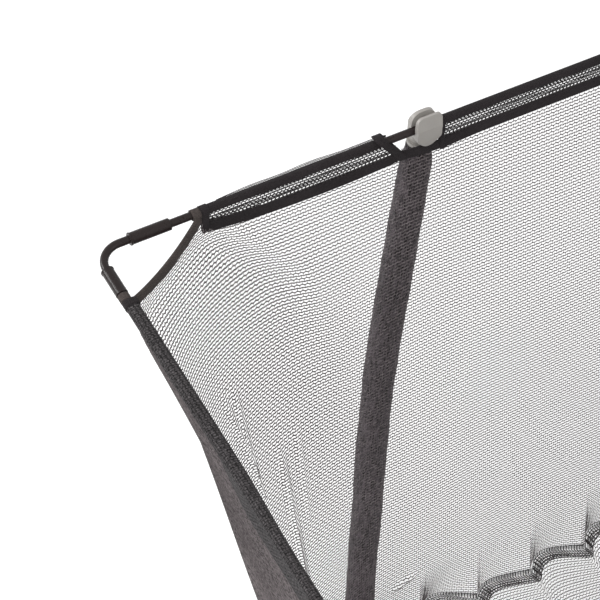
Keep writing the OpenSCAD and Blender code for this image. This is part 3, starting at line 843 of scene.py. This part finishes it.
def half_wall_threads(sx, sy, long_half, sizes):
    """Threads from the middle of a wall to the middle of its corner, as two parts: those on the
    straight wall and those round the corner."""
    flat = math.cos(WALL_LEAN)
    reach = (HALF_LENGTH if long_half else HALF_WIDTH) + 0.02

    def gather(s, d):
        """Threads are thicker everywhere by an eighth, and towards a corner, high up, by another half."""
        past = s - straight_half(d * flat, long_half)
        return 1.12 + 0.50 * rise(past, -0.10, 0.16) * rise(0.75 - d, 0, 0.5)

    def row_depth(s, d):
        """Depth below the rim of a point d metres down the leaning wall."""
        depth = np.clip(d * flat, 0, BAG_DEPTH)
        return gathered_depth(s - straight_half(depth, long_half), depth)

    def surface(s, d, h):
        return bag_point(sx, sy, long_half, s, row_depth(s, d), h)

    threads, middles = knit(0.0, reach, 0.0, (BAG_DEPTH - 0.001) / flat, sizes, gather=gather)
    s, depth = middles[:, 0], row_depth(*middles.T)
    straight = straight_half(depth, long_half)
    rail_end = straight_half(0.0, long_half)
    across = np.clip((s - rail_end) / CORNER_LENGTHS[0], 0, 1)
    edge = np.where(s < rail_end + 0.001, hem_drop(sizes, rail_end - s) - HEM_LAP,
                    binding_sag(across) + BINDING_LAP)
    half_corner = np.interp(depth, DEPTHS, CORNER_LENGTHS) / 2
    on_wall = (s < straight) & (depth > edge)
    on_corner = (s >= straight) & (s - sizes.stitch_pitch / 2 < straight + half_corner) & (depth > edge)
    return [thread_part(threads[chosen], surface) for chosen in (on_wall, on_corner)]


class LAWNNET_OT_net(bpy.types.Operator):
    """Knit the four walls, the four corners and the floor of the bag"""

    bl_idname = "lawn_net.net"
    bl_label = "Net"

    def execute(self, context):
        sizes = context.scene.lawn_net_sizes
        material = material_for("thread")
        slant = BAG_DEPTH / math.cos(WALL_LEAN)
        corners = {corner: [] for corner in CORNERS}
        for corner, (sx, sy) in CORNERS.items():
            for long_half in (True, False):
                side = ("back" if sy > 0 else "front") if long_half else ("left" if sx < 0 else "right")
                on_wall, on_corner = half_wall_threads(sx, sy, long_half, sizes)
                corners[corner].append(on_corner)
                name = f"net_{side}_towards_{corner}"
                piece = threads_object(name, [on_wall])
                finish_piece(piece, material, "net_frame", ["net_" + side])
                wide = straight_half(0.0, long_half)
                declare_threads([on_wall], slant - HEM_DEPTH)
        for corner, parts in corners.items():
            piece = threads_object("net_round_" + corner, parts)
            finish_piece(piece, material, "net_frame", ["net_corner_" + corner])
            declare_threads(parts, slant)
        for name, low, high in (("left", -1, 0), ("right", 0, 1)):
            self.floor(name, low, high, sizes, material)
        return {"FINISHED"}

    def floor(self, name, low, high, sizes, material):
        """Half of the floor: a flat knitted net inside the bag's outline, a little slack, whose edge
        follows the seam's pucker."""
        x0, y0 = straight_halves(BAG_DEPTH)
        a, b = corner_shape(BAG_DEPTH)
        wide, deep = x0 + a, y0 + b
        finer, margin, corner_margin = 1.25, 0.006, 0.97
        threads, middles = knit(low * wide, high * wide, -deep, deep, sizes, finer, standing=False)
        x, y = np.abs(middles).T
        bend = np.hypot(np.clip((x - x0) / a, 0, None), np.clip((y - y0) / b, 0, None))
        inside = (x < wide - margin) & (y < deep - margin)
        chosen = np.where((x > x0) & (y > y0), bend < corner_margin, inside)
        taut, sagged, uneven = 0.3, 0.006, 0.003

        def surface(x, y, h):
            """Sinks with the distance from the edges, and is moved out and up by the seam's scallops."""
            edge_x, edge_y = wide - np.abs(x), deep - np.abs(y)
            slack = np.clip(edge_x / taut, 0, 1) * np.clip(edge_y / taut, 0, 1)
            sag = slack * (-sagged + uneven * smooth_noise(x * 2, y * 2, 5))
            by_long = pucker(x) * by_seam(edge_y)
            by_short = pucker(y) * by_seam(edge_x)
            up = RIM_HEIGHT - BAG_DEPTH + sag + by_long + by_short + h
            return np.stack([x + np.sign(x) * by_short, y + np.sign(y) * by_long, up], 1)

        parts = [thread_part(threads[chosen], surface)]
        piece = threads_object("net_floor_" + name, parts)
        finish_piece(piece, material, "net_frame", ["net_floor"])
        declare_threads(parts, wide)


# A hem's section: its tunnel's radius round the rod, where that ends, how far below the rod the flaps
# meet, half their distance there, and how much cloth laid over them may widen that
TUNNEL = 0.0046
TUNNEL_END = math.radians(45)
PINCH = 0.0175
FLAP_HALF = 0.0007
FLAP_PROUD = 0.0012
FLAP_POINTS = 14
NECK_POINTS = 13
ARC_POINTS = 19
OUTER_ARC = 1.15
OUTER_NECK = 1.1

# Along a hem: how far a corner and a clip are felt, the slant of an end beside a clip, how far from it
# that is even, and how it fades beyond
CORNER_FADE = 0.07
CLIP_FADE = 0.06
SLANT = 0.021
SLANT_EVEN = 0.012
SLANT_FADE = 0.05

# From the middle of a clip to the hems' ends, and to the strap's ends
OUTER_GAP = 0.0205
MIDDLE_GAP = 0.0155
STRAP_OUTWARD = 0.034
STRAP_INWARD = 0.022


def hem_drop(sizes, from_end):
    """Drop of a hem, a fifth less at its end by a corner: from_end is the distance from that end."""
    return sizes.hem_drop * (1 - 0.2 * np.exp(-np.clip(from_end, 0, None) / CORNER_FADE))


def flap_half(proud):
    """Half the distance between the flaps, for cloth that stands proud of the hem's own."""
    return FLAP_HALF + min(proud, FLAP_PROUD)


def flap_width(z, proud=0.0):
    """Half the hem's width at a height from the rod: on the tunnel's circle down to where that ends,
    then straight to the pinch, and even below that."""
    r, half = TUNNEL + proud, flap_half(proud)
    foot = r * math.sin(TUNNEL_END)
    share = np.clip((z + PINCH) / (PINCH - foot), 0, 1)
    return np.where(z > -foot, np.sqrt(np.clip(r * r - z * z, 0, None)), half + (foot - half) * share)


def hem_profile(proud=0.0):
    """A hem's section from the foot of its inner flap, over the rod, to the foot of the outer one.

    It is a straight flap, a slant out to the tunnel, three quarters of a circle round the rod that
    is wider on its outer side, and the same back down. Returns outward, up, and down the flap as a
    share from 0 at the pinch to -1 at the foot."""
    r = TUNNEL + proud
    foot = r * math.sin(TUNNEL_END)
    flap = np.linspace(-1, 0, FLAP_POINTS)
    half, pinched = np.full(FLAP_POINTS, flap_half(proud)), np.full(FLAP_POINTS, -PINCH)
    neck_z = -PINCH + (PINCH - foot) * np.linspace(0, 1, NECK_POINTS + 2)[1:-1]
    neck_y = flap_width(neck_z, proud)
    angles = np.linspace(np.pi + TUNNEL_END, -TUNNEL_END, ARC_POINTS)
    arc = r * np.cos(angles) * np.where(angles < np.pi / 2, OUTER_ARC, 1.0)
    y = np.concatenate([-half, -neck_y, arc, neck_y[::-1] * OUTER_NECK, half])
    z = np.concatenate([pinched, neck_z, r * np.sin(angles), neck_z[::-1], pinched])
    share = np.concatenate([flap, np.zeros(len(y) - 2 * FLAP_POINTS), flap[::-1]])
    return y, z, share


def hem_lean(side, from_end):
    """Lean of a hem: that of its wall, and on the short rails steep by the corners, upright between."""
    if side % 2 == 0:
        return np.full_like(from_end, WALL_LEAN)
    return 0.34 * (1 - rise(from_end, 0.10, 0.15))


def hem_world(side, along, y, z, lean=WALL_LEAN):
    """Carries a hem's section along its rail, at a lean."""
    out = y * np.cos(lean) + z * np.sin(lean)
    up = -y * np.sin(lean) + z * np.cos(lean)
    return to_world(side, along, out, up)


@dataclass
class HemRun:
    """Where a hem runs: the number of its side, its ends along the rail, and of its first and last end
    whether it is by a corner, or else by a clip. A hem from a corner to a clip is slanted at the clip."""

    sizes: bpy.types.PropertyGroup
    side: int
    x0: float
    x1: float
    first_by_corner: bool
    last_by_corner: bool

    def __post_init__(self):
        self.on_short_rail = self.first_by_corner and self.last_by_corner
        self.between_clips = not (self.first_by_corner or self.last_by_corner)
        self.slanted = self.first_by_corner != self.last_by_corner

    def from_ends(self, along):
        """Distances from the nearest end by a corner, and from the nearest one by a clip: a metre where
        the hem has no such end."""
        low, high = along - self.x0, self.x1 - along
        far = np.full_like(along, 1.0)
        corner = np.minimum(low if self.first_by_corner else far, high if self.last_by_corner else far)
        clip = np.minimum(far if self.first_by_corner else low, far if self.last_by_corner else high)
        return corner, clip

    def drop(self, along):
        """Drop of the hem along it. On a short rail it is 28% more in the middle. Between two clips it is
        3.5% more, and another 2.2 mm beside them. Between a corner and a clip it is a fifth more in the
        middle, and narrows towards both."""
        corner, clip = self.from_ends(along)
        even = self.sizes.hem_drop
        if self.on_short_rail:
            return hem_drop(self.sizes, corner) * (1 + 0.28 * rise(corner, 0.1, 0.15))
        if self.between_clips:
            return 1.035 * even + 0.0022 * np.exp(-((clip / 0.03) ** 2))
        return even * (1.2 - 0.37 * np.exp(-corner / CORNER_FADE) - 0.27 * np.exp(-clip / CLIP_FADE))

    def low_tape(self, along):
        """Width of the lower tape, which is a quarter less at a slanted end."""
        width = self.sizes.lower_tape
        if not self.slanted:
            return np.full_like(along, width)
        _, clip = self.from_ends(along)
        return width * (1 - 0.25 * np.exp(-clip / SLANT_FADE))

    def slant(self, along, up, drop):
        """How far a point moves along the rail by a slanted end: all of the slant at the rod, none at the
        foot, evenly by the end and fading further along."""
        if not self.slanted:
            return 0.0 * along
        _, clip = self.from_ends(along)
        fade = np.exp(-np.clip(clip - SLANT_EVEN, 0, None) / SLANT_FADE)
        return (-SLANT if self.first_by_corner else SLANT) * fade * (1 + up / drop)

    def section(self, along, proud=0.0):
        """World points (rows, columns, 3) of the hem's cloth at each place along it, the length of its
        section up to each column, and each point's height from the rod. The flaps wander a little
        along the rail, and by the corners of a short rail the tunnel is looser on its inner side."""
        y, z, share = hem_profile(proud)
        corner, _ = self.from_ends(along)
        drop = self.drop(along)[:, None]
        grid_z = z[None, :] + share[None, :] * (drop - PINCH)
        seed = int(abs(self.x0) * 1000)
        wander = 0.0007 * smooth_noise(along * 7, along * 0, seed)[:, None] * share[None, :]
        grid_y = np.broadcast_to(y, grid_z.shape) + wander
        if self.on_short_rail:
            loose = (1 - rise(corner, 0.2, 0.12))[:, None] * rise(1 + z / PINCH, 0, 1)[None, :]
            grid_y = grid_y * np.where(grid_y < 0, 1 + 0.75 * loose, 1 - 0.18 * loose)
        slant = self.slant(along[:, None], grid_z, drop)
        path = path_lengths(y, grid_z[len(along) // 2])
        lean = hem_lean(self.side, corner)[:, None]
        return hem_world(self.side, along[:, None] + slant, grid_y, grid_z - wander, lean), path, grid_z


class LAWNNET_OT_hems(bpy.types.Operator):
    """Sew the taped hems, their mesh windows and their end bindings around the rods"""

    bl_idname = "lawn_net.hems"
    bl_label = "Hems"

    def execute(self, context):
        self.sizes = context.scene.lawn_net_sizes
        long_end, short_end = HALF_LENGTH - CUT_LONG, HALF_WIDTH - CUT_SHORT
        outer, middle = POLE_X + OUTER_GAP, POLE_X - MIDDLE_GAP
        for side, near, far in (("back", "left", "right"), ("front", "right", "left")):
            number = SIDES[side]
            self.hem(f"hem_{side}_{near}", HemRun(self.sizes, number, -long_end, -outer, True, False))
            self.hem(f"hem_{side}_{far}", HemRun(self.sizes, number, outer, long_end, False, True))
            self.hem(f"hem_{side}_middle", HemRun(self.sizes, number, -middle, middle, False, False))
            self.strap(f"hem_strap_{side}_{near}", side, -POLE_X - STRAP_OUTWARD, -POLE_X + STRAP_INWARD)
            self.strap(f"hem_strap_{side}_{far}", side, POLE_X - STRAP_INWARD, POLE_X + STRAP_OUTWARD)
        for side in ("left", "right"):
            self.hem("hem_" + side, HemRun(self.sizes, SIDES[side], -short_end, short_end, True, True))
        return {"FINISHED"}

    def hem(self, node, run):
        """The cloth of a hem, open where its windows are, with those windows and the end bindings. A
        short rail's hem is doubled net without a window."""
        length, spacing = run.x1 - run.x0, 0.006
        along = np.linspace(run.x0, run.x1, max(12, int(length / spacing)))
        points, path, grid_z = run.section(along)
        middle = (grid_z[:-1, :-1] + grid_z[:-1, 1:]) / 2
        low = (run.low_tape(along) - run.drop(along))[:-1, None]
        opening = (middle < -self.sizes.upper_tape) & (middle > low) & (not run.on_short_rail)
        faces = grid_faces(*grid_z.shape)[~opening.ravel()]
        tape = new_mesh(node + "_tape", points.reshape(-1, 3), faces, strip_map(along, path))
        thicken(tape, 0.0008)
        material = material_for("netting" if run.on_short_rail else "tape")
        finish_piece(tape, material, "net_frame", [node])
        if not run.on_short_rail:
            self.window(node, run)
        self.ends(node, run)

    def window(self, node, run):
        """The knitted windows in both flaps, tucked under the tapes, and on a slanted hem the loose edge
        of net that stands up behind the rod."""
        sizes, x0, x1 = self.sizes, run.x0, run.x1
        high = sizes.upper_tape
        deepest = 1.2 * sizes.hem_drop
        inset, tuck, apart = 0.003, 0.002, 0.0011
        threads, middles = knit(x0 + inset, x1 - inset, 0.0, deepest - high, sizes, 1.35,
                                gather=lambda s, d: np.full_like(s, 1.1), links=1.9)
        s, d = middles.T
        drop = run.drop(s)
        inside = d < drop - run.low_tape(s) + tuck - high
        if run.slanted:
            _, clip = run.from_ends(s)
            inside &= clip > SLANT * (1 - (d + high) / drop)

        def flap(s, d, h, layer):
            """The net of the inner flap, layer -1, and of the outer one, 1, which are shifted apart along
            the rail. The outer one has a soft ripple."""
            z = 0.0008 * layer - high - d
            z = z + 0.0007 * np.sin(s * 61 + layer) * (layer > 0)
            return hem_world(run.side, s + apart * layer, layer * flap_width(z) + h, z)

        parts = [thread_part(threads[inside], lambda s, d, h, layer=layer: flap(s, d, h, layer))
                 for layer in (-1, 1)]
        loose_end, loose_width, behind = 0.02, 0.008, 0.0058
        if run.slanted:
            threads, _ = knit(x0 + loose_end, x1 - loose_end, 0.0, loose_width, sizes, 2.2)

            def loose_edge(s, d, h):
                """Highest in its middle, with a ripple of a fifth of its height."""
                t = np.clip((s - x0 - loose_end) / (x1 - x0 - 2 * loose_end), 0, 1)
                height = (0.0018 + 0.0038 * np.sin(np.pi * t) ** 0.7) * (1 + 0.2 * np.sin(s * 90))
                return hem_world(run.side, s, behind + 0.1 * d + h, 0.001 + height * d / loose_width)

            parts.append(thread_part(threads, loose_edge))
        piece = threads_object(node + "_window", parts)
        finish_piece(piece, material_for("window"), "net_frame")
        declare_threads(parts, x1 - x0)

    def ends(self, node, run):
        """A narrow binding round each end of a hem, over the hem's own cloth. At a slanted end it is
        heavy: it stands further out and is wider."""
        wide = self.sizes.end_tape * (0.65 if run.between_clips else 1.0)
        over, wider, proud, heavy_proud = 0.0004, 0.002, 0.0008, 0.0040
        first_heavy = run.slanted and run.last_by_corner
        last_heavy = run.slanted and run.first_by_corner
        strips, cuts = [], []
        for low, high, heavy in ((run.x0 - over, run.x0 + wide + wider * first_heavy, first_heavy),
                                 (run.x1 - wide - wider * last_heavy, run.x1 + over, last_heavy)):
            along = np.linspace(low, high, 5)
            points, path, _ = run.section(along, heavy_proud if heavy else proud)
            strips.append((points, grid_faces(5, len(path)), strip_map(along, path)))
            cuts.append((float(along[-1] - along[0]), float(path[-1])))
        piece = strips_object(node + "_ends", strips)
        thicken(piece, 0.0007)
        finish_piece(piece, material_for("tape"), "net_frame")

    def strap(self, name, side, x0, x1):
        """The lower tape where it runs on under a clip, from the foot of the middle hem up to that of the
        outer one, with a slight sag."""
        rows, columns, run = 24, 6, 0.058
        along = np.linspace(x0, x1, rows)
        up = np.linspace(0, self.sizes.lower_tape - 0.0015, columns)
        share = (np.abs(along) - POLE_X + STRAP_INWARD) / run
        foot = -self.sizes.hem_drop * (1.09 - 0.16 * share) - 0.0010 * np.sin(np.pi * share)
        behind = np.full((1, columns), -0.0002)
        points = hem_world(SIDES[side], along[:, None], behind, up[None, :] + foot[:, None])
        piece = new_mesh(name, points.reshape(-1, 3), grid_faces(rows, columns), strip_map(along, up))
        thicken(piece, 0.0020)
        finish_piece(piece, material_for("tape"), "net_frame")


class LAWNNET_OT_bindings(bpy.types.Operator):
    """Fold the binding tape over the net's edge across each corner"""

    bl_idname = "lawn_net.bindings"
    bl_label = "Corner bindings"

    def execute(self, context):
        for corner, (sx, sy) in CORNERS.items():
            self.binding(corner, sx, sy)
        return {"FINISHED"}

    def binding(self, corner, sx, sy):
        """A tape folded over the sagging edge: its section is a U whose legs hang down both sides of
        the net, joined by half a circle over the edge. It leans with the corner, more than a wall."""
        steps, past_end, above = 49, 0.02, 0.0005
        leg, radius = 0.0090, 0.0011
        lean, slack = SLOPE * 1.3, 1.04
        u = np.linspace(-past_end, 1 + past_end, steps)
        x, y = HALF_LENGTH - CUT_LONG + CUT_LONG * u, HALF_WIDTH - CUT_SHORT * u
        top = binding_sag(np.clip(u, 0, 1)) - above
        arc = np.linspace(np.pi, 0, 7)
        across = np.concatenate([np.full(5, -radius), radius * np.cos(arc), np.full(5, radius)])
        down = np.linspace(leg, radius, 6)[:-1]
        below = np.concatenate([down, radius * (1 - np.sin(arc)), down[::-1]])
        length = math.hypot(CUT_LONG, CUT_SHORT)
        nx, ny = CUT_SHORT / length, CUT_LONG / length
        depth = top[:, None] + below[None, :]
        out = across[None, :] - lean * depth
        px, py = x[:, None] + nx * out, y[:, None] + ny * out
        points = np.stack([sx * px, sy * py, RIM_HEIGHT - depth], -1).reshape(-1, 3)
        faces = grid_faces(steps, len(across))
        if sx * sy < 0:
            faces = faces[:, ::-1]
        path = path_lengths(across, below)
        piece = new_mesh("binding_tape_" + corner, points, faces, strip_map(u * length, path))
        thicken(piece, 0.0009)
        finish_piece(piece, material_for("binding"), "net_frame", ["binding_" + corner])
        self.wraps(corner, sx, sy)

    def wraps(self, corner, sx, sy):
        """A turn of the tape round each rod, between the corner and the hem: a circle that is a little
        wider than high."""
        width, gap, radius, flattened = 0.0088, 0.0012, 0.0050, 0.0003
        rows, columns = 6, 25
        turn = np.linspace(0, 2 * np.pi, columns)
        r = radius + flattened * np.cos(turn * 2)[None, :]
        strips = []
        for side, start in ((0 if sy > 0 else 2, HALF_LENGTH - CUT_LONG),
                            (1 if sx < 0 else 3, HALF_WIDTH - CUT_SHORT)):
            along = np.linspace(start + gap, start + gap + width, rows)
            toward = {0: sx, 2: -sx, 1: sy, 3: -sy}[side]
            points = to_world(side, toward * along[:, None], r * np.cos(turn), r * np.sin(turn))
            faces = grid_faces(rows, columns)
            strips.append((points, faces if toward < 0 else faces[:, ::-1], strip_map(along, radius * turn)))
        piece = strips_object("binding_wraps_" + corner, strips)
        thicken(piece, 0.0008)
        finish_piece(piece, material_for("binding"), "net_frame")


class LAWNNET_OT_seams(bpy.types.Operator):
    """Sew the doubled mesh band along the seam of the floor"""

    bl_idname = "lawn_net.seams"
    bl_label = "Seam bands"

    # Width of the band on the wall and on the floor, pitch and thread of its two layers, how far inside
    # the bag the first one lies, how far apart they are, how far the band bulges in its middle, and how
    # far it lies above the floor's net
    wall_part = 0.011
    floor_part = 0.012
    layers = ((0.0034, 0.0010), (0.0031, 0.0007))
    inside = 0.0012
    apart = 0.0011
    bulge = 0.0018
    above_floor = 0.0008

    def execute(self, context):
        x0, y0 = straight_halves(BAG_DEPTH)
        half_corner = float(CORNER_LENGTHS[-1]) / 2
        for side in SIDES:
            long_half = SIDES[side] % 2 == 0
            half = x0 if long_half else y0
            parts = []
            for turn in (-1, 1):
                signs = {"back": (turn, 1), "front": (turn, -1), "left": (-1, turn), "right": (1, turn)}[side]
                parts += self.band(*signs, long_half, 0.0, half)
            self.piece("seam_band_" + side, parts, 2 * half, ["seam_" + side])
        for corner, (sx, sy) in CORNERS.items():
            by_long = self.band(sx, sy, True, x0, x0 + half_corner)
            by_short = self.band(sx, sy, False, y0, y0 + half_corner)
            self.piece("seam_band_" + corner, by_long + by_short, 2 * half_corner, ["seam_corners"])
        return {"FINISHED"}

    def band(self, sx, sy, long_half, low, high):
        """Two layers of open weave, from the wall round onto the floor, where the wall's lowest points
        are drawn in towards the middle."""
        width = self.wall_part + self.floor_part
        reach = np.array([[HALF_LENGTH - BAG_INSET, HALF_WIDTH - BAG_INSET]])

        def surface(s, d, h, layer):
            depth = np.minimum(BAG_DEPTH - self.wall_part + d, BAG_DEPTH)
            points = bag_point(sx, sy, long_half, s, depth, h - self.inside - self.apart * layer)
            onto_floor = np.clip(d - self.wall_part, 0, None)
            bulge = self.bulge * np.sin(np.pi * d / width)
            points[:, :2] *= 1 - onto_floor[:, None] / reach
            points[:, 2] += self.above_floor + self.apart * layer * (onto_floor > 0) + bulge
            return points

        return [thread_part(weave_band(low, high, width, pitch, thread),
                            lambda s, d, h, layer=layer: surface(s, d, h, layer))
                for layer, (pitch, thread) in enumerate(self.layers)]

    def piece(self, name, parts, length, nodes):
        """Makes a stretch of the band."""
        piece = threads_object(name, parts)
        finish_piece(piece, material_for("seam"), "net_frame", nodes)
        declare_threads(parts, length)


class LAWNNET_OT_clips(bpy.types.Operator):
    """Finish the cradle clips"""

    bl_idname = "lawn_net.clips"
    bl_label = "Clips"

    def execute(self, context):
        for corner in CORNERS:
            dress_node("clip_" + corner, "clip")
        return {"FINISHED"}


def pole_line(drop):
    """How far outside the rail a pole's axis stands at a drop below the rod: a lean, then plumb. The drop
    still to go to the bend is softness * log(1 + e^-x), where x is the drop past it over softness, so
    that one turns into the other along a wide curve."""
    softness = 0.028
    lean = (POLE_FOOT_OUT - POLE_TOP_OUT) / (POLE_BEND_DROP - POLE_TOP_DROP)
    x = (drop - POLE_BEND_DROP) / softness
    still_to_go = np.where(x > 30, 0, softness * np.log1p(np.exp(-np.clip(x, -50, 50))))
    return POLE_FOOT_OUT - lean * still_to_go


class LAWNNET_OT_poles(bpy.types.Operator):
    """Finish the pole tubes and their feet"""

    bl_idname = "lawn_net.poles"
    bl_label = "Poles and feet"

    def execute(self, context):
        for corner in CORNERS:
            dress_node("upper_tube_" + corner, "tube")
            dress_node("lower_tube_" + corner, "tube")
            dress_node("foot_" + corner, "rubber")
        return {"FINISHED"}


class LAWNNET_OT_sleeves(bpy.types.Operator):
    """Pull the padded sleeves over the poles"""

    bl_idname = "lawn_net.sleeves"
    bl_label = "Padded sleeves"

    # The sleeve's ends below the rod, its radius, that of the pole inside it, and how much slimmer and
    # further from the corner it is at its top
    top = 0.033
    bottom = 0.930
    radius = 0.018
    bore = 0.01135
    slimmer = 0.0018
    around = 48

    def execute(self, context):
        for number, (corner, (sx, sy)) in enumerate(CORNERS.items()):
            self.sleeve(corner, sx, sy, number)
        return {"FINISHED"}

    def sleeve(self, corner, sx, sy, seed):
        """A tube round the pole's line, gathered at both ends, with soft dents; its wall turns in
        at the ends and back up inside, so that the padding is closed."""
        gathered = self.top + 0.05
        close_rings = np.linspace(self.top, gathered, 12)[:-1]
        drop = np.concatenate([close_rings, np.linspace(gathered, self.bottom, 110)])
        angle = np.linspace(0, 2 * np.pi, self.around, endpoint=False)
        t, a = np.meshgrid(drop, angle, indexing="ij")
        tied = 0.0045 * np.exp(-((drop - self.top) / 0.016) ** 2)
        hemmed = 0.003 * np.exp(-((self.bottom - drop) / 0.01) ** 2)
        dents = 0.0006 * smooth_noise(a / (2 * np.pi) * 3, t * 9, 40 + seed)
        pleats = 0.0004 * np.cos(6 * a + 3 * np.sin(t * 20)) * np.exp(-((t - self.top) / 0.03) ** 2)
        slim = self.slimmer * (1 - rise(drop, 0.05, 0.3)[:, None])
        outer = (self.radius - tied - hemmed)[:, None] + dents + pleats - slim
        rings = np.concatenate([outer, np.full_like(outer, self.bore)])
        drops = np.concatenate([t, t[::-1]])
        angles = np.concatenate([a, a])
        x = POLE_X - np.concatenate([slim, 0 * slim]) + rings * np.cos(angles)
        y = HALF_WIDTH + pole_line(drops) + rings * np.sin(angles)
        points = np.stack([sx * x, sy * y, RIM_HEIGHT - drops], -1).reshape(-1, 3)
        faces = grid_faces(len(rings), self.around, close_columns=True, close_rows=True)
        if sx * sy > 0:
            faces = faces[:, ::-1]
        uv = np.stack([angles * self.radius, drops], -1).reshape(-1, 2)
        piece = new_mesh("sleeve_padding_" + corner, points, faces, uv)
        finish_piece(piece, material_for("padding"), "leg_" + corner, ["sleeve_" + corner])


# ---- Stage --------------------------------------------------------------------------------


def seen_rays(tree):
    """1 for the rays by which the view, gloss and glass see a surface, and 0 for light on the object."""
    path = add(tree, "LightPath").outputs
    mirrored = maths(tree, "MAXIMUM", path["Is Glossy Ray"], path["Is Transmission Ray"])
    return maths(tree, "MAXIMUM", path["Is Camera Ray"], mirrored)


def floor_material(lift):
    """White floor: what the view sees of it glows a little, so that it is white and keeps shadows."""
    material, tree, shader = new_material("Studio floor", 0.9, Specular_IOR_Level=0.0)
    shader.inputs["Base Color"].default_value = (0.8, 0.8, 0.8, 1)
    shader.inputs["Emission Color"].default_value = (1, 1, 1, 1)
    link(tree, maths(tree, "MULTIPLY", seen_rays(tree), lift), shader.inputs["Emission Strength"])
    return material


class LAWNNET_OT_stage(bpy.types.Operator):
    """Set the floor, the light and the camera"""

    bl_idname = "lawn_net.stage"
    bl_label = "Stage"

    def execute(self, context):
        studio = context.scene.lawn_net_studio
        reach = 14.0
        square = np.array([[-1, -1, 0], [1, -1, 0], [1, 1, 0], [-1, 1, 0]])
        floor = new_mesh("studio_floor", reach * square, np.array([[0, 1, 2, 3]]))
        floor.data.materials.append(floor_material(studio.floor_lift))
        self.sky(context, studio.sky)
        self.lamp(context, "Key lamp", (-2.2, -1.0, 3.6), (0, 0, 0.8), 3.0, studio.key)
        self.lamp(context, "Fill lamp", (2.6, -2.4, 2.6), (0, 0, 0.7), 2.5, studio.fill)
        self.lamp(context, "Rim lamp", (-2.6, 2.4, 1.7), (-0.4, 0.3, 0.9), 1.3, studio.rim)
        self.camera(context)
        context.scene.view_settings.view_transform = "Standard"
        return {"FINISHED"}

    def sky(self, context, strength):
        """An even sky: white to the view, gloss and glass, and grey as a light."""
        world = bpy.data.worlds.new("Studio sky")
        world.use_nodes = True
        tree = world.node_tree
        level = add(tree, "MapRange", Value=seen_rays(tree), To_Min=strength, To_Max=1.0).outputs["Result"]
        back = tree.nodes["Background"]
        back.inputs["Color"].default_value = (1, 1, 1, 1)
        link(tree, level, back.inputs["Strength"])
        context.scene.world = world

    def lamp(self, context, name, place, target, size, power):
        """A round lamp of that width at a place, turned to a target."""
        light = bpy.data.lights.new(name, "AREA")
        light.shape, light.size, light.energy = "DISK", size, power
        lamp = bpy.data.objects.new(name, light)
        line = np.array(target) - np.array(place)
        lamp.matrix_world = look(place, line / np.linalg.norm(line))
        context.scene.collection.objects.link(lamp)

    def camera(self, context):
        """A long lens above the near side of the left rail, turned a little."""
        yaw, tilt, roll = math.radians(30.13), math.radians(50.29), math.radians(2.27)
        aim = np.array([math.sin(yaw) * math.cos(tilt), math.cos(yaw) * math.cos(tilt), -math.sin(tilt)])
        target, distance = np.array([-0.55993, 0.36458, 0.99952]), 2.24016
        data = bpy.data.cameras.new("View")
        data.sensor_width, data.sensor_fit = 36.0, "HORIZONTAL"
        data.lens, data.clip_start, data.clip_end = 148.61, 0.05, 60.0
        camera = bpy.data.objects.new("View", data)
        camera.matrix_world = look(target - aim * distance, aim, roll)
        context.scene.collection.objects.link(camera)
        context.scene.camera = camera


def look(place, aim, roll=0.0):
    """The matrix of a camera or lamp at a place that looks along aim, turned by roll."""
    right = np.cross(aim, (0, 0, 1))
    right = right / np.linalg.norm(right)
    up = np.cross(right, aim)
    x = math.cos(roll) * right + math.sin(roll) * up
    y = -math.sin(roll) * right + math.cos(roll) * up
    matrix = np.eye(4)
    matrix[:3] = np.stack([x, y, -np.asarray(aim), place], 1)
    return Matrix(matrix.tolist())


# ---- Panel and registration ---------------------------------------------------------------


class LAWNNET_PT_panel(bpy.types.Panel):
    """Lists the pieces of the lawn net"""

    bl_idname = "LAWNNET_PT_panel"
    bl_label = "Lawn Net"
    bl_space_type = "VIEW_3D"
    bl_region_type = "UI"
    bl_category = "Lawn Net"

    def draw(self, context):
        for operator in PIECES:
            self.layout.operator(operator.bl_idname)
        for group in SETTINGS:
            box = self.layout.box()
            settings = getattr(context.scene, group)
            for name in settings.__annotations__:
                box.prop(settings, name)


PIECES = (
    LAWNNET_OT_rim,
    LAWNNET_OT_net,
    LAWNNET_OT_hems,
    LAWNNET_OT_bindings,
    LAWNNET_OT_seams,
    LAWNNET_OT_clips,
    LAWNNET_OT_poles,
    LAWNNET_OT_sleeves,
    LAWNNET_OT_stage,
)
SETTINGS = {
    "lawn_net_sizes": LawnNetSizes,
    "lawn_net_colours": LawnNetColours,
    "lawn_net_studio": LawnNetStudio,
}
CLASSES = (*SETTINGS.values(), *PIECES, LAWNNET_PT_panel)


def register():
    for item in CLASSES:
        bpy.utils.register_class(item)
    for name, group in SETTINGS.items():
        setattr(bpy.types.Scene, name, PointerProperty(type=group))


def unregister():
    for name in SETTINGS:
        delattr(bpy.types.Scene, name)
    for item in reversed(CLASSES):
        bpy.utils.unregister_class(item)


def main():
    register()
    bpy.ops.lawn_net.rim()
    bpy.ops.lawn_net.net()
    bpy.ops.lawn_net.hems()
    bpy.ops.lawn_net.bindings()
    bpy.ops.lawn_net.seams()
    bpy.ops.lawn_net.clips()
    bpy.ops.lawn_net.poles()
    bpy.ops.lawn_net.sleeves()
    bpy.ops.lawn_net.stage()


if __name__ == "__main__":
    main()
